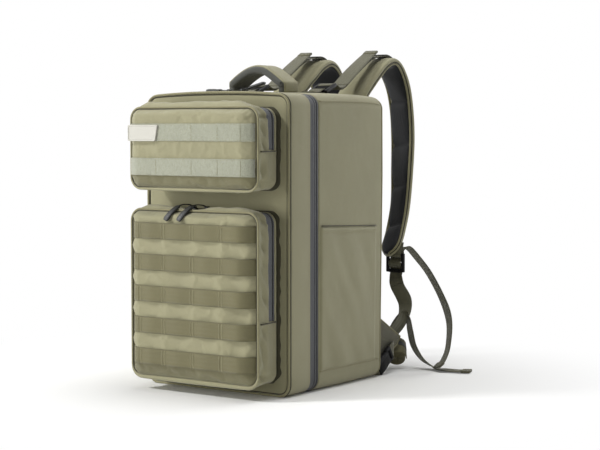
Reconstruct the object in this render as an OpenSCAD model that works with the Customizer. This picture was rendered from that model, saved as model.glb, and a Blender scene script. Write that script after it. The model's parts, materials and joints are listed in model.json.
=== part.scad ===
// Padded drone case carried as a backpack: a rear compartment, a front lid that opens
// like a book on the left side, two front pockets with zipped flaps, a carry handle,
// shoulder straps and a waist belt.
// Millimetres, +Z up, front towards -Y, origin at the centre of the base.

/* [Case] */
// Width of the case
case_w = 284; // [260:1:310]
// Height of the case
case_h = 474; // [450:1:510]
// Depth of the front lid
lid_d = 69; // [60:1:80]
// Depth of the rear compartment
shell_d = 197; // [180:1:220]
// Corner radius of the case seen from the front
corner_r = 28; // [22:1:32]
// Radius along the back edges
back_r = 18; // [12:1:22]
// Wall of the padded rear compartment
wall = 6; // [5:0.5:8]
// Wall of the padded lid
lid_wall = 5; // [4:0.5:7]

/* [Zips] */
// Width of the main zip with both tapes
zip_w = 22; // [18:1:26]
// Width of a pocket zip with both tapes
pocket_zip_w = 12; // [10:1:14]
// Thickness of a zip tape
tape_t = 1.6; // [1.2:0.1:2]
// Depth of the main zip below the case surface
zip_recess = 1; // [0.9:0.05:1.5]
// Width of the coil on one main tape
coil_w = 4; // [3:0.5:6]
// Distance from the case corners to the ends of the lid hinge
hinge_margin = 40; // [34:1:60]
// Length of a zip slider
slider_l = 12; // [10:0.5:14]
// Width of a zip slider
slider_w = 8; // [7:0.5:9]
// Height of a zip slider without its ears
slider_h = 3.5; // [3:0.25:4.5]
// Radius of the pull pin
pin_r = 0.9; // [0.7:0.05:1.1]
// Length of a straight zip pull
pull_l = 46; // [36:1:52]
// Width of a moulded pull grip
pull_w = 7; // [6:0.5:9]
// Thickness of a moulded pull grip
pull_t = 3.4; // [2.6:0.2:4]
// Centre of the sliders from the middle of the case
slider_x = 13; // [12:1:20]

/* [Pockets] */
// Width of both pockets
pocket_w = 249; // [230:1:255]
// Depth of both pockets
pocket_d = 60; // [50:1:70]
// Corner radius of the pockets
pocket_r = 18; // [14:1:21]
// Thickness of the pocket fabric with its lining
cloth = 2.5; // [2:0.25:3.5]
// Height of the lower pocket's bottom above the floor
lower_z = 22; // [16:1:30]
// Height of the lower pocket
lower_h = 266; // [262:1:274]
// Gap between the two pockets
pocket_gap = 35; // [34:1:40]
// Height of the upper pocket
upper_h = 126; // [120:1:136]
// Fold line of the lower flap above the pocket's bottom
lower_fold = 98.5; // [98:0.5:104]
// Fold line of the upper flap above the pocket's bottom
upper_fold = 61; // [56:1:66]
// Depth of the fixed gusset behind a pocket zip
rear_gusset = 14; // [10:1:20]
// Width of the piping
piping_w = 3; // [2:0.5:4]
// Height of the piping above the panel it edges
piping_t = 1.5; // [1:0.25:2]

/* [Webbing] */
// Width of a carrier webbing row on the lower pocket
row_w = 26; // [24:0.5:27]
// Thickness of a carrier webbing row
row_t = 2; // [1.5:0.25:2.5]
// Spacing of the rows
row_pitch = 50; // [47:0.5:51]
// First row above the pocket's bottom
row_first = 21.5; // [21:0.5:23]
// Width of a loop strip on the upper pocket
loop_w = 27; // [24:1:29]
// Spacing of the loop strips
loop_pitch = 54; // [52:1:56]
// First loop strip above the pocket's bottom
loop_first = 21; // [19:1:22]
// Width of the blank label
label_w = 55; // [40:1:65]
// Thickness of the blank label
label_t = 1.2; // [0.8:0.2:1.8]
// Width of the strap webbing
web_w = 25; // [22:1:26]
// Thickness of the strap webbing
web_t = 1.8; // [1.4:0.2:2.2]

/* [Handle] */
// Span of the handle over its feet
handle_span = 114; // [104:2:124]
// Rise of the handle above the case
handle_rise = 46; // [40:1:52]
// Width of the handle
handle_w = 46; // [40:1:50]
// Thickness of the outer cover
handle_cover_t = 5; // [4:0.5:6]
// Thickness of the dark lining
handle_lining_t = 9; // [7:0.5:10]
// Centre of the handle behind the middle of the case
handle_y = -6; // [-14:1:4]

/* [Shoulder straps] */
// Distance of a strap's root from the middle of the case
strap_x = 69; // [62:1:76]
// Width of a shoulder pad
strap_w = 62; // [56:1:68]
// Thickness of a shoulder pad with its mesh
strap_t = 14; // [12:0.5:16]
// Thickness of the mesh lining
mesh_t = 5; // [4:0.5:6]
// Width of a ladder lock
lock_w = 36; // [34:1:40]
// Length of a ladder lock
lock_l = 30; // [27:1:34]
// Thickness of a ladder lock
lock_t = 6; // [5:0.5:7]
// Radius of a ladder lock's top bar
bar_r = 2; // [1.7:0.1:2.4]
// Start of the top anchor webbing behind the middle of the case
anchor_y = 8; // [0:1:14]
// Length of the top anchor webbing up to its loop
anchor_l = 46; // [42:1:50]
// Tilt of the top ladder lock
lifter_tilt = 22; // [16:1:28]
// Distance of the lower wings from the middle of the case
wing_x = 118; // [112:1:120]
// Thickness of a lower wing
wing_t = 4; // [3:0.5:5]
// Length of a lower wing
wing_l = 96; // [88:2:104]

/* [Back and inside] */
// Thickness of the back pads
back_pad_t = 14; // [10:1:18]
// Thickness of the strap yoke on the back
yoke_t = 3; // [2:0.5:4]
// Thickness of a side pocket's fabric
side_t = 2.5; // [2:0.25:3.5]
// Height of the side pockets' bottom edge
side_z = 30; // [29:1:36]
// Height of the side pockets' top edge
side_top = 261; // [240:1:280]
// Thickness of the foam boards
foam_t = 10; // [8:1:14]
// Thickness of the stiff back board
board_t = 2; // [1.5:0.5:3]
// Thickness of the padded dividers
divider_t = 12; // [10:1:16]
// Height of the two lower bays
battery_h = 110; // [95:1:120]
// Height of the middle bay
drone_h = 188; // [175:1:195]
// Thickness of the mesh pocket in the lid
net_t = 2; // [1.5:0.5:3]

/* [Hidden] */
$fn = 64;
// Clearances: between pieces that move past each other, and round a turning pin
gap = 0.3;
pin_gap = 0.05;
// Half of the open line between two zip tapes
seam = 0.25;
// Length that reaches past every cut
far = 2000;

y_front = -(lid_d + shell_d) / 2;
y_split = y_front + lid_d;
y_back = y_split + shell_d;
y_lid = y_split - zip_w / 2;
y_shell = y_split + zip_w / 2;
coil_rise = 0.8;
hinge_h = case_h - 2 * hinge_margin;

y_pocket = y_front - pocket_d;
y_pocket_zip = y_front - rear_gusset - pocket_zip_w / 2;
y_flap = y_front - rear_gusset - pocket_zip_w;
upper_z = lower_z + lower_h + pocket_gap;
pocket_recess = 0.6;
// The fold lies just in front of all that is sewn on the panel
upper_fold_z = upper_z + upper_fold;
lower_fold_z = lower_z + lower_fold;
row_l = pocket_w - 2 * piping_w - 1;

// Slider feet stand on the tapes
main_slider_z = case_h - zip_recess + coil_rise + gap;
lower_slider_z = lower_z + lower_h - pocket_recess + gap;
upper_slider_x = -pocket_w / 2 + pocket_recess - gap;
upper_slider_z = upper_fold_z + slider_l;
pin_z = slider_h + 1.6;
ear_t = 1.2;
ear_in = slider_w / 2 - ear_t;
eye_t = 2.4;
// The draped pulls reach past the front panel and hang in front of it
drape_l = y_pocket_zip - y_pocket + row_t + 1;
drape_drop = 21;
// The top row of webbing stays below the ends of the draped pulls
last_row = floor((lower_slider_z - lower_z + pin_z - drape_drop - row_first - row_w) / row_pitch);

handle_r = handle_span / 2;
handle_z = case_h + handle_rise - handle_r;

loop_r = bar_r + gap;
loop_t = 1.6;
rail_w = 4.5;
// Thickness of the inner bars as a share of the lock's
bar_share = 0.6;
lifter_y = anchor_y + anchor_l;
lifter_z = case_h + max(loop_r + loop_t, lock_t / sqrt(2)) + gap;
web_side = [1, 0, 0];

foam_front = y_shell + 3;
foam_back = y_back - wall - board_t - foam_t;
bay_w = case_w - 2 * wall - 2 * foam_t;
bay_z = wall + foam_t;
shelf_low = bay_z + battery_h;
shelf_high = shelf_low + divider_t + drone_h;
bay_top = case_h - wall - foam_t;

wing_z = 14;
wing_h = 96;

// Shoulder pad from the back's top edge: outward drift, distance behind the back,
// height above the top, turn of the pad, width share and thickness share
pad_route = [
    [0, yoke_t + 0.8, -14, 0, 0.95, 0.35],
    [0, yoke_t + 12, -10, 2, 0.97, 0.6],
    [0, 38, 11, 5, 1, 1],
    [0, 66, 33, 8, 1.02, 1],
    [1, 95, 52, 12, 1.02, 1],
    [2, 121, 57, 16, 1.02, 1],
    [3, 145, 43, 20, 1.02, 1],
    [5, 163, 15, 23, 1.02, 1],
    [7, 172, -24, 25, 1.02, 1],
    [10, 173, -74, 25, 1, 1],
    [14, 167, -129, 25, 0.95, 1],
    [19, 155, -189, 24, 0.84, 1],
    [25, 131, -236, 20, 0.74, 0.95],
    [30, 118, -258, 14, 0.68, 0.85],
    [32, 114.5, -267, 10, 0.62, 0.7]
];
pad_end = pad_route[len(pad_route) - 1];
lock_pos = [strap_x + pad_end[0] + 1, y_back + pad_end[1] - 3, case_h + pad_end[2] - 11];
loop_lean = 18;

// Lifter webbing behind the top ladder lock: distance behind the back, height above the top
lifter_route = [
    [lifter_y + lock_l * cos(lifter_tilt) + gap - y_back, lifter_z + lock_l * sin(lifter_tilt) - case_h],
    [18, 46],
    [62, 68],
    [98, 75],
    [122, 68]
];

// Free end of the strap webbing from the ladder lock down to the floor, with its width direction
tail_route = [
    [0, lock_t * bar_share / 2 + 2 * gap + web_t / 2, -16, 1, 0, 0],
    [4, 13, 5, 1, -0.1, 0.1],
    [19, 32, 0, 0.95, -0.3, 0.2],
    [43, 43, -33, 0.9, -0.35, 0.4],
    [69, 43, -76, 0.9, -0.4, 0.35],
    [95, 24, -112, 0.8, -0.5, 0.1],
    [103, 7, -152, 0.7, -0.6, 0],
    [100, -3, -176, 0.7, -0.6, 0],
    [94, -16, 8 - lock_pos[2], 0.75, -0.65, 0]
];

// Belt end from the right wing to the floor, with its width direction
belt_x = wing_x + wing_t + 1.5 * web_t + 4 * gap;
belt_route = [
    [belt_x, y_back + 74, 54, 0, -0.4, 0.9],
    [belt_x + 4, y_back + 102, 70, 0, -0.4, 0.9],
    [belt_x + 9, y_back + 117, 68, 0.3, -0.2, 0.9],
    [140, y_back + 119, 50, 0.7, -0.2, 0.7],
    [150, y_back + 117, 28, 0.7, -0.5, 0.5],
    [172, y_back + 112, 8, 0.5, -0.8, 0.2],
    [198, y_back + 105, 2.4, 0.3, -0.9, 0],
    [224, y_back + 114, 2, 0.5, -0.8, 0],
    [248, y_back + 129, 2, 0.5, -0.8, 0]
];

// Lower webbing from the wing up to the ladder lock, with its width direction
lower_web_route = [
    [wing_x + wing_t + web_t / 2 + 2 * gap, y_back + 62, 48, 0, -0.54, 0.84],
    [wing_x + wing_t + web_t / 2 + 2 * gap, y_back + 80, 60, 0, -0.54, 0.84],
    [wing_x + 6, y_back + 107, 82, 0.3, -0.6, 0.7],
    [wing_x - 1, y_back + 120, 113, 0.75, -0.6, 0.2],
    [lock_pos[0] + 6, lock_pos[1] - 3, lock_pos[2] - 54, 0.95, -0.3, 0],
    [lock_pos[0], lock_pos[1], lock_pos[2] - lock_l - 9, 1, 0, 0],
    [lock_pos[0], lock_pos[1], lock_pos[2] - lock_l - 7 * gap, 1, 0, 0]
];

// Waist belt: buckle, and the near end of the rolled webbing with its turn and lean
buckle_size = [9, 42, 24];
buckle_pos = [wing_x + wing_t + gap + buckle_size[0] / 2, y_back + 34, 15];
belt_z = 2;
roll_pos = [118, y_back + 92, 17];
roll_r = 15;
roll_l = 38;
roll_turn = 35;
roll_lean = 45;
// The belt meets the roll's end at its own top edge
belt_drop = (roll_pos[2] - belt_z - web_w) * tan(roll_lean) / cos(roll_turn);
belt_end_y = roll_pos[1] + belt_drop + (buckle_pos[0] - web_t - roll_pos[0]) * tan(roll_turn) - gap;

olive = [0.42, 0.41, 0.31];
olive_side = [0.47, 0.46, 0.37];
olive_web = [0.33, 0.33, 0.23];
slate = [0.2, 0.21, 0.23];
black = [0.07, 0.07, 0.08];
pale = [0.6, 0.62, 0.56];
white = [0.9, 0.9, 0.9];
foam_grey = [0.25, 0.25, 0.26];

// Rounded rectangle that stands on the first axis
module rounded(w, h, r) {
    translate([-w / 2 + r, 0]) square([w - 2 * r, h]);
    translate([-w / 2, r]) square([w, h - 2 * r]);
    for (sx = [-1, 1], z = [r, h - r]) translate([sx * (w / 2 - r), z]) circle(r);
}

// Outline in X and Z, extruded from y0 to y1
module slab(y0, y1) {
    translate([0, y1, 0]) rotate([90, 0, 0]) linear_extrude(y1 - y0) children();
}

module case_outline(inset = 0) {
    translate([0, inset]) rounded(case_w - 2 * inset, case_h - 2 * inset, corner_r - inset);
}

module pocket_outline(z, h, inset = 0) {
    translate([0, z + inset]) rounded(pocket_w - 2 * inset, h - 2 * inset, pocket_r - inset);
}

// Everything above or below a level
module over(z) {
    translate([-far / 2, -far / 2, z]) cube(far);
}

module under(z) {
    translate([-far / 2, -far / 2, z - far]) cube(far);
}

module both_sides() {
    children();
    mirror([1, 0, 0]) children();
}

// Rear compartment and its fittings

module rear_form() {
    depth = y_back - y_shell + 2 * back_r;
    intersection() {
        slab(y_shell, y_back) case_outline();
        translate([0, y_back - depth, 0]) linear_extrude(case_h) rounded(case_w, depth, back_r);
        rotate([90, 0, 90]) translate([y_back - depth / 2, 0, -case_w / 2]) linear_extrude(case_w)
            rounded(depth, case_h, back_r);
    }
}

module rear_shell() {
    color(olive_side) difference() {
        rear_form();
        slab(y_shell - 1, y_back - wall) case_outline(wall);
    }
}

module zip_half(y0, y1, inset) {
    slab(y0, y1) difference() {
        case_outline(inset);
        case_outline(zip_recess + tape_t);
        translate([-case_w / 2 - 1, hinge_margin]) square([corner_r, hinge_h]);
    }
}

module rear_zipper_tape() {
    color(slate) {
        zip_half(y_split + seam, y_shell, zip_recess);
        zip_half(y_split + seam, y_split + seam + coil_w, zip_recess - coil_rise);
    }
}

module hinge_gusset() {
    color(olive_side) translate([-case_w / 2, y_lid + gap, hinge_margin + gap])
        cube([tape_t, zip_w - gap, hinge_h - 2 * gap]);
}

module back_board() {
    color(black) translate([-bay_w / 2 + gap, y_back - wall - board_t, bay_z + gap])
        cube([bay_w - 2 * gap, board_t, bay_top - bay_z - 2 * gap]);
}

// Lining boards and padded dividers, each a board of its own
module foam_insert() {
    depth = foam_back - foam_front - 2 * gap;
    side_h = bay_top - bay_z - 2 * gap;
    color(foam_grey) {
        intersection() {
            slab(foam_front, y_back - wall) case_outline(wall);
            union() {
                for (s = [-1, 1]) translate([s * (bay_w + foam_t) / 2 - foam_t / 2, foam_front, bay_z + gap])
                    cube([foam_t, y_back - wall - foam_front, side_h]);
                for (z = [wall, bay_top]) translate([-case_w / 2, foam_front, z])
                    cube([case_w, y_back - wall - foam_front, foam_t]);
            }
        }
        translate([-bay_w / 2 + gap, foam_back, bay_z + gap]) cube([bay_w - 2 * gap, foam_t, side_h]);
        for (z = [shelf_low, shelf_high]) translate([-bay_w / 2 + gap, foam_front, z])
            cube([bay_w - 2 * gap, depth + gap, divider_t]);
        translate([-divider_t / 2, foam_front, bay_z + gap]) cube([divider_t, depth + gap, battery_h - 2 * gap]);
    }
}

module side_pockets() {
    color(olive_side) both_sides() translate([case_w / 2, y_shell + 2, side_z])
        cube([side_t, y_back - back_r - y_shell - 2, side_top - side_z]);
}

module back_pads() {
    column_w = 78;
    column_z = 128;
    column_h = case_h - column_z - 70;
    lumbar_w = 190;
    lumbar_z = 34;
    lumbar_h = column_z - lumbar_z - 12;
    color(black) {
        both_sides() slab(y_back, y_back + back_pad_t) translate([column_w / 2 + 12, column_z])
            rounded(column_w, column_h, 14);
        slab(y_back, y_back + back_pad_t) translate([0, lumbar_z]) rounded(lumbar_w, lumbar_h, 14);
    }
}

module strap_yoke() {
    yoke_h = 40;
    color(olive_web) slab(y_back, y_back + yoke_t) translate([0, case_h - back_r - yoke_h])
        rounded(2 * (strap_x + strap_w / 2) + 8, yoke_h, 6);
}

// Handle

module handle_arch(r_out, r_in, w) {
    difference() {
        translate([0, handle_y + w / 2, handle_z]) rotate([90, 0, 0]) difference() {
            cylinder(r = r_out, h = w);
            translate([0, 0, -1]) cylinder(r = r_in, h = w + 2);
        }
        under(case_h);
    }
}

module handle_cover() {
    color(olive) handle_arch(handle_r, handle_r - handle_cover_t, handle_w);
}

module handle_lining() {
    color(slate) handle_arch(handle_r - handle_cover_t, handle_r - handle_cover_t - handle_lining_t, handle_w);
}

// Lid

module lid_shell() {
    color(olive) difference() {
        slab(y_front, y_lid) case_outline();
        slab(y_front + lid_wall, y_lid + 1) case_outline(lid_wall);
    }
}

// Piping of the lid and of the fixed part of both pockets
module lid_piping() {
    color(slate) {
        slab(y_front - piping_t, y_front) difference() {
            case_outline();
            case_outline(piping_w);
        }
        intersection() {
            pocket_piping(upper_z, upper_h);
            under(upper_fold_z - gap / 2);
        }
        intersection() {
            pocket_piping(lower_z, lower_h);
            under(lower_fold_z - gap / 2);
        }
    }
}

module lid_zipper_tape() {
    color(slate) {
        zip_half(y_lid, y_split - seam, zip_recess);
        zip_half(y_split - seam - coil_w, y_split - seam, zip_recess - coil_rise);
    }
}

module lid_net_pocket() {
    net_inset = 30;
    color(black) slab(y_front + lid_wall, y_front + lid_wall + net_t) translate([0, net_inset + lid_wall])
        rounded(case_w - 2 * lid_wall - 2 * net_inset, case_h - 4 * net_inset, 10);
}

// Front pockets

module pocket_body(z, h, fold_z) {
    difference() {
        slab(y_pocket, y_front) pocket_outline(z, h);
        slab(y_pocket + cloth, y_front + 1) pocket_outline(z, h, cloth);
        translate([-far / 2, y_front - rear_gusset - far, fold_z - gap / 2]) cube(far);
    }
}

module pocket_flap(z, h, fold_z) {
    difference() {
        slab(y_pocket, y_flap) pocket_outline(z, h);
        slab(y_pocket + cloth, y_flap + 1) pocket_outline(z, h, cloth);
        under(fold_z + gap / 2);
    }
}

module pocket_tape(y0, y1, z, h, fold_z) {
    difference() {
        slab(y0, y1) pocket_outline(z, h, pocket_recess);
        slab(y0 - 1, y1 + 1) pocket_outline(z, h, pocket_recess + tape_t);
        under(fold_z + gap / 2);
    }
}

module pocket_piping(z, h) {
    slab(y_pocket - piping_t, y_pocket) difference() {
        pocket_outline(z, h);
        pocket_outline(z, h, piping_w);
    }
}

module upper_pocket_body() {
    color(olive) pocket_body(upper_z, upper_h, upper_fold_z);
}

module lower_pocket_body() {
    color(olive) pocket_body(lower_z, lower_h, lower_fold_z);
}

module upper_pocket_flap() {
    color(olive) pocket_flap(upper_z, upper_h, upper_fold_z);
}

module lower_pocket_flap() {
    color(olive) pocket_flap(lower_z, lower_h, lower_fold_z);
}

module pocket_zip_rear() {
    color(slate) {
        pocket_tape(y_pocket_zip + seam, y_front - rear_gusset, upper_z, upper_h, upper_fold_z);
        pocket_tape(y_pocket_zip + seam, y_front - rear_gusset, lower_z, lower_h, lower_fold_z);
    }
}

module upper_zip_front() {
    color(slate) pocket_tape(y_flap, y_pocket_zip - seam, upper_z, upper_h, upper_fold_z);
}

module lower_zip_front() {
    color(slate) pocket_tape(y_flap, y_pocket_zip - seam, lower_z, lower_h, lower_fold_z);
}

module upper_piping_flap() {
    color(olive_web) intersection() {
        pocket_piping(upper_z, upper_h);
        over(upper_fold_z + gap / 2);
    }
}

module lower_piping_flap() {
    color(olive_web) intersection() {
        pocket_piping(lower_z, lower_h);
        over(lower_fold_z + gap / 2);
    }
}

module face_strip(z, w) {
    translate([-row_l / 2, y_pocket - row_t, z]) cube([row_l, row_t, w]);
}

module webbing_rows_base() {
    color(olive_web) for (i = [0, 1]) face_strip(lower_z + row_first + i * row_pitch, row_w);
}

module webbing_rows_flap() {
    color(olive_web) for (i = [2 : last_row]) face_strip(lower_z + row_first + i * row_pitch, row_w);
}

module loop_strip_base() {
    color(pale) face_strip(upper_z + loop_first, loop_w);
}

module loop_strip_flap() {
    color(pale) face_strip(upper_z + loop_first + loop_pitch, loop_w);
}

module label_patch() {
    overhang = 3;
    color(white) translate([-pocket_w / 2 - overhang, y_pocket - row_t - label_t, upper_z + loop_first + loop_pitch])
        cube([label_w, label_t, loop_w]);
}

// Zip sliders and pulls, made lying flat with the pin along Y

module slider(turn) {
    translate([-slider_l / 2, -slider_w / 2, 0]) cube([slider_l, slider_w, slider_h]);
    rotate([0, 0, turn]) difference() {
        for (s = [-1, 1]) translate([-2, s * (ear_in + ear_t / 2) - ear_t / 2, slider_h]) cube([4, ear_t, 3.4]);
        translate([0, 0, pin_z]) rotate([90, 0, 0]) cylinder(r = pin_r + pin_gap, h = far, center = true);
    }
}

module pull_eye(reach) {
    eye_w = 2 * (ear_in - gap);
    rotate([90, 0, 0]) {
        cylinder(r = pin_r, h = slider_w, center = true);
        cylinder(r = eye_t / 2, h = eye_w, center = true);
    }
    translate([0, -eye_w / 2, -eye_t / 2]) cube([reach, eye_w, eye_t]);
}

module straight_pull() {
    pull_eye(12);
    translate([10, -pull_w / 2, -pull_t / 2]) cube([pull_l - 10, pull_w, pull_t]);
}

module draped_pull() {
    pull_eye(drape_l + pull_t);
    translate([drape_l, -pull_w / 2, -drape_drop]) cube([pull_t, pull_w, drape_drop + eye_t / 2]);
}

module at_main(side) {
    translate([side * slider_x - slider_x, y_split, main_slider_z]) children();
}

module at_lower(side) {
    translate([side * slider_x - slider_x - 3, y_pocket_zip, lower_slider_z]) children();
}

module at_upper() {
    translate([upper_slider_x, y_pocket_zip, upper_slider_z]) rotate([0, -90, 0]) children();
}

module main_slider_left() {
    color(slate) at_main(-1) slider(0);
}

module main_slider_right() {
    color(slate) at_main(1) slider(0);
}

module main_pull_left() {
    color(black) at_main(-1) translate([0, 0, pin_z]) rotate([0, 0, 180]) straight_pull();
}

module main_pull_right() {
    lift = 14;
    color(black) at_main(1) translate([0, 0, pin_z]) rotate([0, -lift, 0]) straight_pull();
}

module upper_slider() {
    color(slate) at_upper() slider(0);
}

module upper_pull() {
    color(black) at_upper() translate([0, 0, pin_z]) rotate([0, 0, 180]) straight_pull();
}

module lower_slider_left() {
    color(slate) at_lower(-1) slider(90);
}

module lower_slider_right() {
    color(slate) at_lower(1) slider(90);
}

module lower_pull_left() {
    color(black) at_lower(-1) translate([0, 0, pin_z]) rotate([0, 0, -90]) draped_pull();
}

module lower_pull_right() {
    color(black) at_lower(1) translate([0, 0, pin_z]) rotate([0, 0, -90]) draped_pull();
}

// Swept straps: each row of a route is place, width direction, width and thickness

function unit(v) = v / norm(v);
function place(row) = [row[0], row[1], row[2]];
function blend4(a, b, c, d, t) =
    0.5 * (2 * b + (c - a) * t + (2 * a - 5 * b + 4 * c - d) * t * t + (3 * b - a - 3 * c + d) * t * t * t);
function smooth(p, n) = concat(
    [for (i = [0 : len(p) - 2], k = [0 : n - 1])
        blend4(p[max(i - 1, 0)], p[i], p[i + 1], p[min(i + 2, len(p) - 1)], k / n)],
    [p[len(p) - 1]]
);
function along(s, i) = unit(place(s[min(i + 1, len(s) - 1)]) - place(s[max(i - 1, 0)]));
function across(s, i) = let (t = along(s, i), b = [s[i][3], s[i][4], s[i][5]]) unit(b - t * (b * t));
// Section with bevelled corners between two shares of the thickness
function section(s, i, low, high, bevel) =
    let (b = across(s, i), n = cross(along(s, i), b), w = s[i][6] / 2, t = s[i][7], c = bevel * t)
    [for (p = [[w - c, low * t], [w, low * t + c], [w, high * t - c], [w - c, high * t],
               [c - w, high * t], [-w, high * t - c], [-w, low * t + c], [c - w, low * t]])
        place(s[i]) + b * p[0] + n * p[1]];

module sweep(rows, low = -0.5, high = 0.5, bevel = 0.2) {
    k = 8;
    m = len(rows);
    points = [for (i = [0 : m - 1]) each section(rows, i, low, high, bevel)];
    sides = [for (i = [0 : m - 2], j = [0 : k - 1]) each
        let (a = i * k + j, b = i * k + (j + 1) % k) [[a, b + k, b], [a, a + k, b + k]]];
    first = [[for (j = [0 : k - 1]) j]];
    last = [[for (j = [k - 1 : -1 : 0]) (m - 1) * k + j]];
    polyhedron(points, concat(sides, first, last));
}

function pad_rows() = smooth([for (r = pad_route)
    [strap_x + r[0], y_back + r[1], case_h + r[2], cos(r[3]), -sin(r[3]), 0, strap_w * r[4], strap_t * r[5]]], 3);
function web_rows(route, n = 3) = smooth([for (r = route) [for (k = [0 : 5]) r[k], web_w, web_t]], n);
function tail_rows() = web_rows([for (r = tail_route)
    concat(lock_pos + place(r), [r[3], r[4], r[5]])]);
function lifter_rows() = web_rows([for (r = lifter_route)
    concat([strap_x, y_back + r[0], case_h + r[1]], web_side)]);

mesh_share = 0.5 - mesh_t / strap_t;
// Room between the pad and its lining, for the bends
quilt_gap = 1.2;

module strap_pad() {
    sweep(pad_rows(), -0.5, mesh_share - quilt_gap / strap_t, 0.15);
}

module strap_mesh() {
    sweep(pad_rows(), mesh_share, 0.5, 0.08);
}

module strap_pad_right() {
    color(olive) strap_pad();
}

module strap_pad_left() {
    color(olive) mirror([1, 0, 0]) strap_pad();
}

module strap_mesh_right() {
    color(black) strap_mesh();
}

module strap_mesh_left() {
    color(black) mirror([1, 0, 0]) strap_mesh();
}

// Webbing loop round a ladder lock's bar, open along X
module web_loop() {
    rotate([0, 90, 0]) difference() {
        cylinder(r = loop_r + loop_t, h = web_w, center = true);
        cylinder(r = loop_r, h = web_w + 2, center = true);
    }
}

// Ladder lock with its bar on X and its body along +Y
module ladder_lock() {
    inner = lock_w - 2 * rail_w;
    rotate([0, 90, 0]) cylinder(r = bar_r, h = inner + 2, center = true);
    for (s = [-1, 1]) translate([s * (lock_w - rail_w) / 2 - rail_w / 2, -lock_t / 2, -lock_t / 2])
        cube([rail_w, lock_l + lock_t / 2, lock_t]);
    translate([-inner / 2 - 1, lock_l * 0.45, -lock_t * bar_share / 2]) cube([inner + 2, 5, lock_t * bar_share]);
    translate([-inner / 2 - 1, lock_l - 6, -lock_t / 2]) cube([inner + 2, 6, lock_t * bar_share]);
}

module tip_loop() {
    tab_l = 22;
    translate(lock_pos) {
        web_loop();
        rotate([-loop_lean, 0, 0]) translate([-web_w / 2, -1.4, loop_r + 0.4]) cube([web_w, 2.8, tab_l]);
    }
}

module strap_lock() {
    translate(lock_pos) rotate([-90, 0, 0]) ladder_lock();
}

module tip_loop_right() {
    color(olive_web) tip_loop();
}

module tip_loop_left() {
    color(olive_web) mirror([1, 0, 0]) tip_loop();
}

module ladder_lock_right() {
    color(black) strap_lock();
}

module ladder_lock_left() {
    color(black) mirror([1, 0, 0]) strap_lock();
}

module strap_tail_right() {
    color(olive_web) sweep(tail_rows());
}

module strap_tail_left() {
    color(olive_web) mirror([1, 0, 0]) sweep(tail_rows());
}

module lifter_anchors() {
    color(olive_web) both_sides() {
        translate([strap_x - web_w / 2, anchor_y, case_h]) cube([web_w, anchor_l, loop_t]);
        translate([strap_x, lifter_y, lifter_z]) web_loop();
    }
}

module lifter_lock() {
    translate([strap_x, lifter_y, lifter_z]) rotate([lifter_tilt, 0, 0]) ladder_lock();
}

module lifter_lock_right() {
    color(black) lifter_lock();
}

module lifter_lock_left() {
    color(black) mirror([1, 0, 0]) lifter_lock();
}

module lifter_web_right() {
    color(olive_web) sweep(lifter_rows());
}

module lifter_web_left() {
    color(olive_web) mirror([1, 0, 0]) sweep(lifter_rows());
}

module lower_web_right() {
    color(olive_web) sweep(web_rows(lower_web_route, 4));
}

module lower_web_left() {
    color(olive_web) mirror([1, 0, 0]) sweep(web_rows(lower_web_route, 4));
}

module strap_wings() {
    tip_z = 42;
    color(olive_web) both_sides() translate([wing_x, 0, 0]) rotate([90, 0, 90]) linear_extrude(wing_t)
        polygon([[y_back, wing_z], [y_back, wing_z + wing_h], [y_back + wing_l, tip_z + 14],
                 [y_back + wing_l - 12, tip_z]]);
}

// Waist belt

// Webbing from the back to the buckles, and the free belt end on the right
module belt_webbing() {
    color(olive_web) {
        both_sides() {
            front_end = buckle_pos[1] - buckle_size[1] / 2;
            back_end = buckle_pos[1] + buckle_size[1] / 2;
            translate([buckle_pos[0] - web_t, y_back, belt_z]) cube([web_t, front_end - y_back, web_w]);
            translate([buckle_pos[0] - web_t, back_end, belt_z]) cube([web_t, belt_end_y - back_end, web_w]);
        }
        sweep(web_rows(belt_route));
    }
}

module belt_rolls() {
    color(olive_web) both_sides() translate(roll_pos) rotate([0, 0, roll_turn]) rotate([-roll_lean, 0, 0])
        cylinder(r = roll_r, h = roll_l);
}

module buckle_block() {
    translate(buckle_pos - buckle_size / 2) cube(buckle_size);
}

module belt_buckle_socket() {
    color(black) buckle_block();
}

module belt_buckle_plug() {
    color(black) mirror([1, 0, 0]) buckle_block();
}

rear_shell();
rear_zipper_tape();
hinge_gusset();
back_board();
foam_insert();
side_pockets();
back_pads();
strap_yoke();
handle_cover();
handle_lining();
lid_shell();
lid_piping();
lid_zipper_tape();
lid_net_pocket();
upper_pocket_body();
lower_pocket_body();
upper_pocket_flap();
lower_pocket_flap();
pocket_zip_rear();
upper_zip_front();
lower_zip_front();
upper_piping_flap();
lower_piping_flap();
webbing_rows_base();
webbing_rows_flap();
loop_strip_base();
loop_strip_flap();
label_patch();
main_slider_left();
main_slider_right();
main_pull_left();
main_pull_right();
upper_slider();
upper_pull();
lower_slider_left();
lower_slider_right();
lower_pull_left();
lower_pull_right();
strap_pad_right();
strap_pad_left();
strap_mesh_right();
strap_mesh_left();
tip_loop_right();
tip_loop_left();
ladder_lock_right();
ladder_lock_left();
strap_tail_right();
strap_tail_left();
lifter_anchors();
lifter_lock_right();
lifter_lock_left();
lifter_web_right();
lifter_web_left();
lower_web_right();
lower_web_left();
strap_wings();
belt_webbing();
belt_rolls();
belt_buckle_socket();
belt_buckle_plug();
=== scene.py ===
"""Olive drone carrying case worn as a backpack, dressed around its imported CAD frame."""
import json
import math

import bmesh
import bpy
import numpy as np
from mathutils import Matrix, Vector, noise


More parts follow.
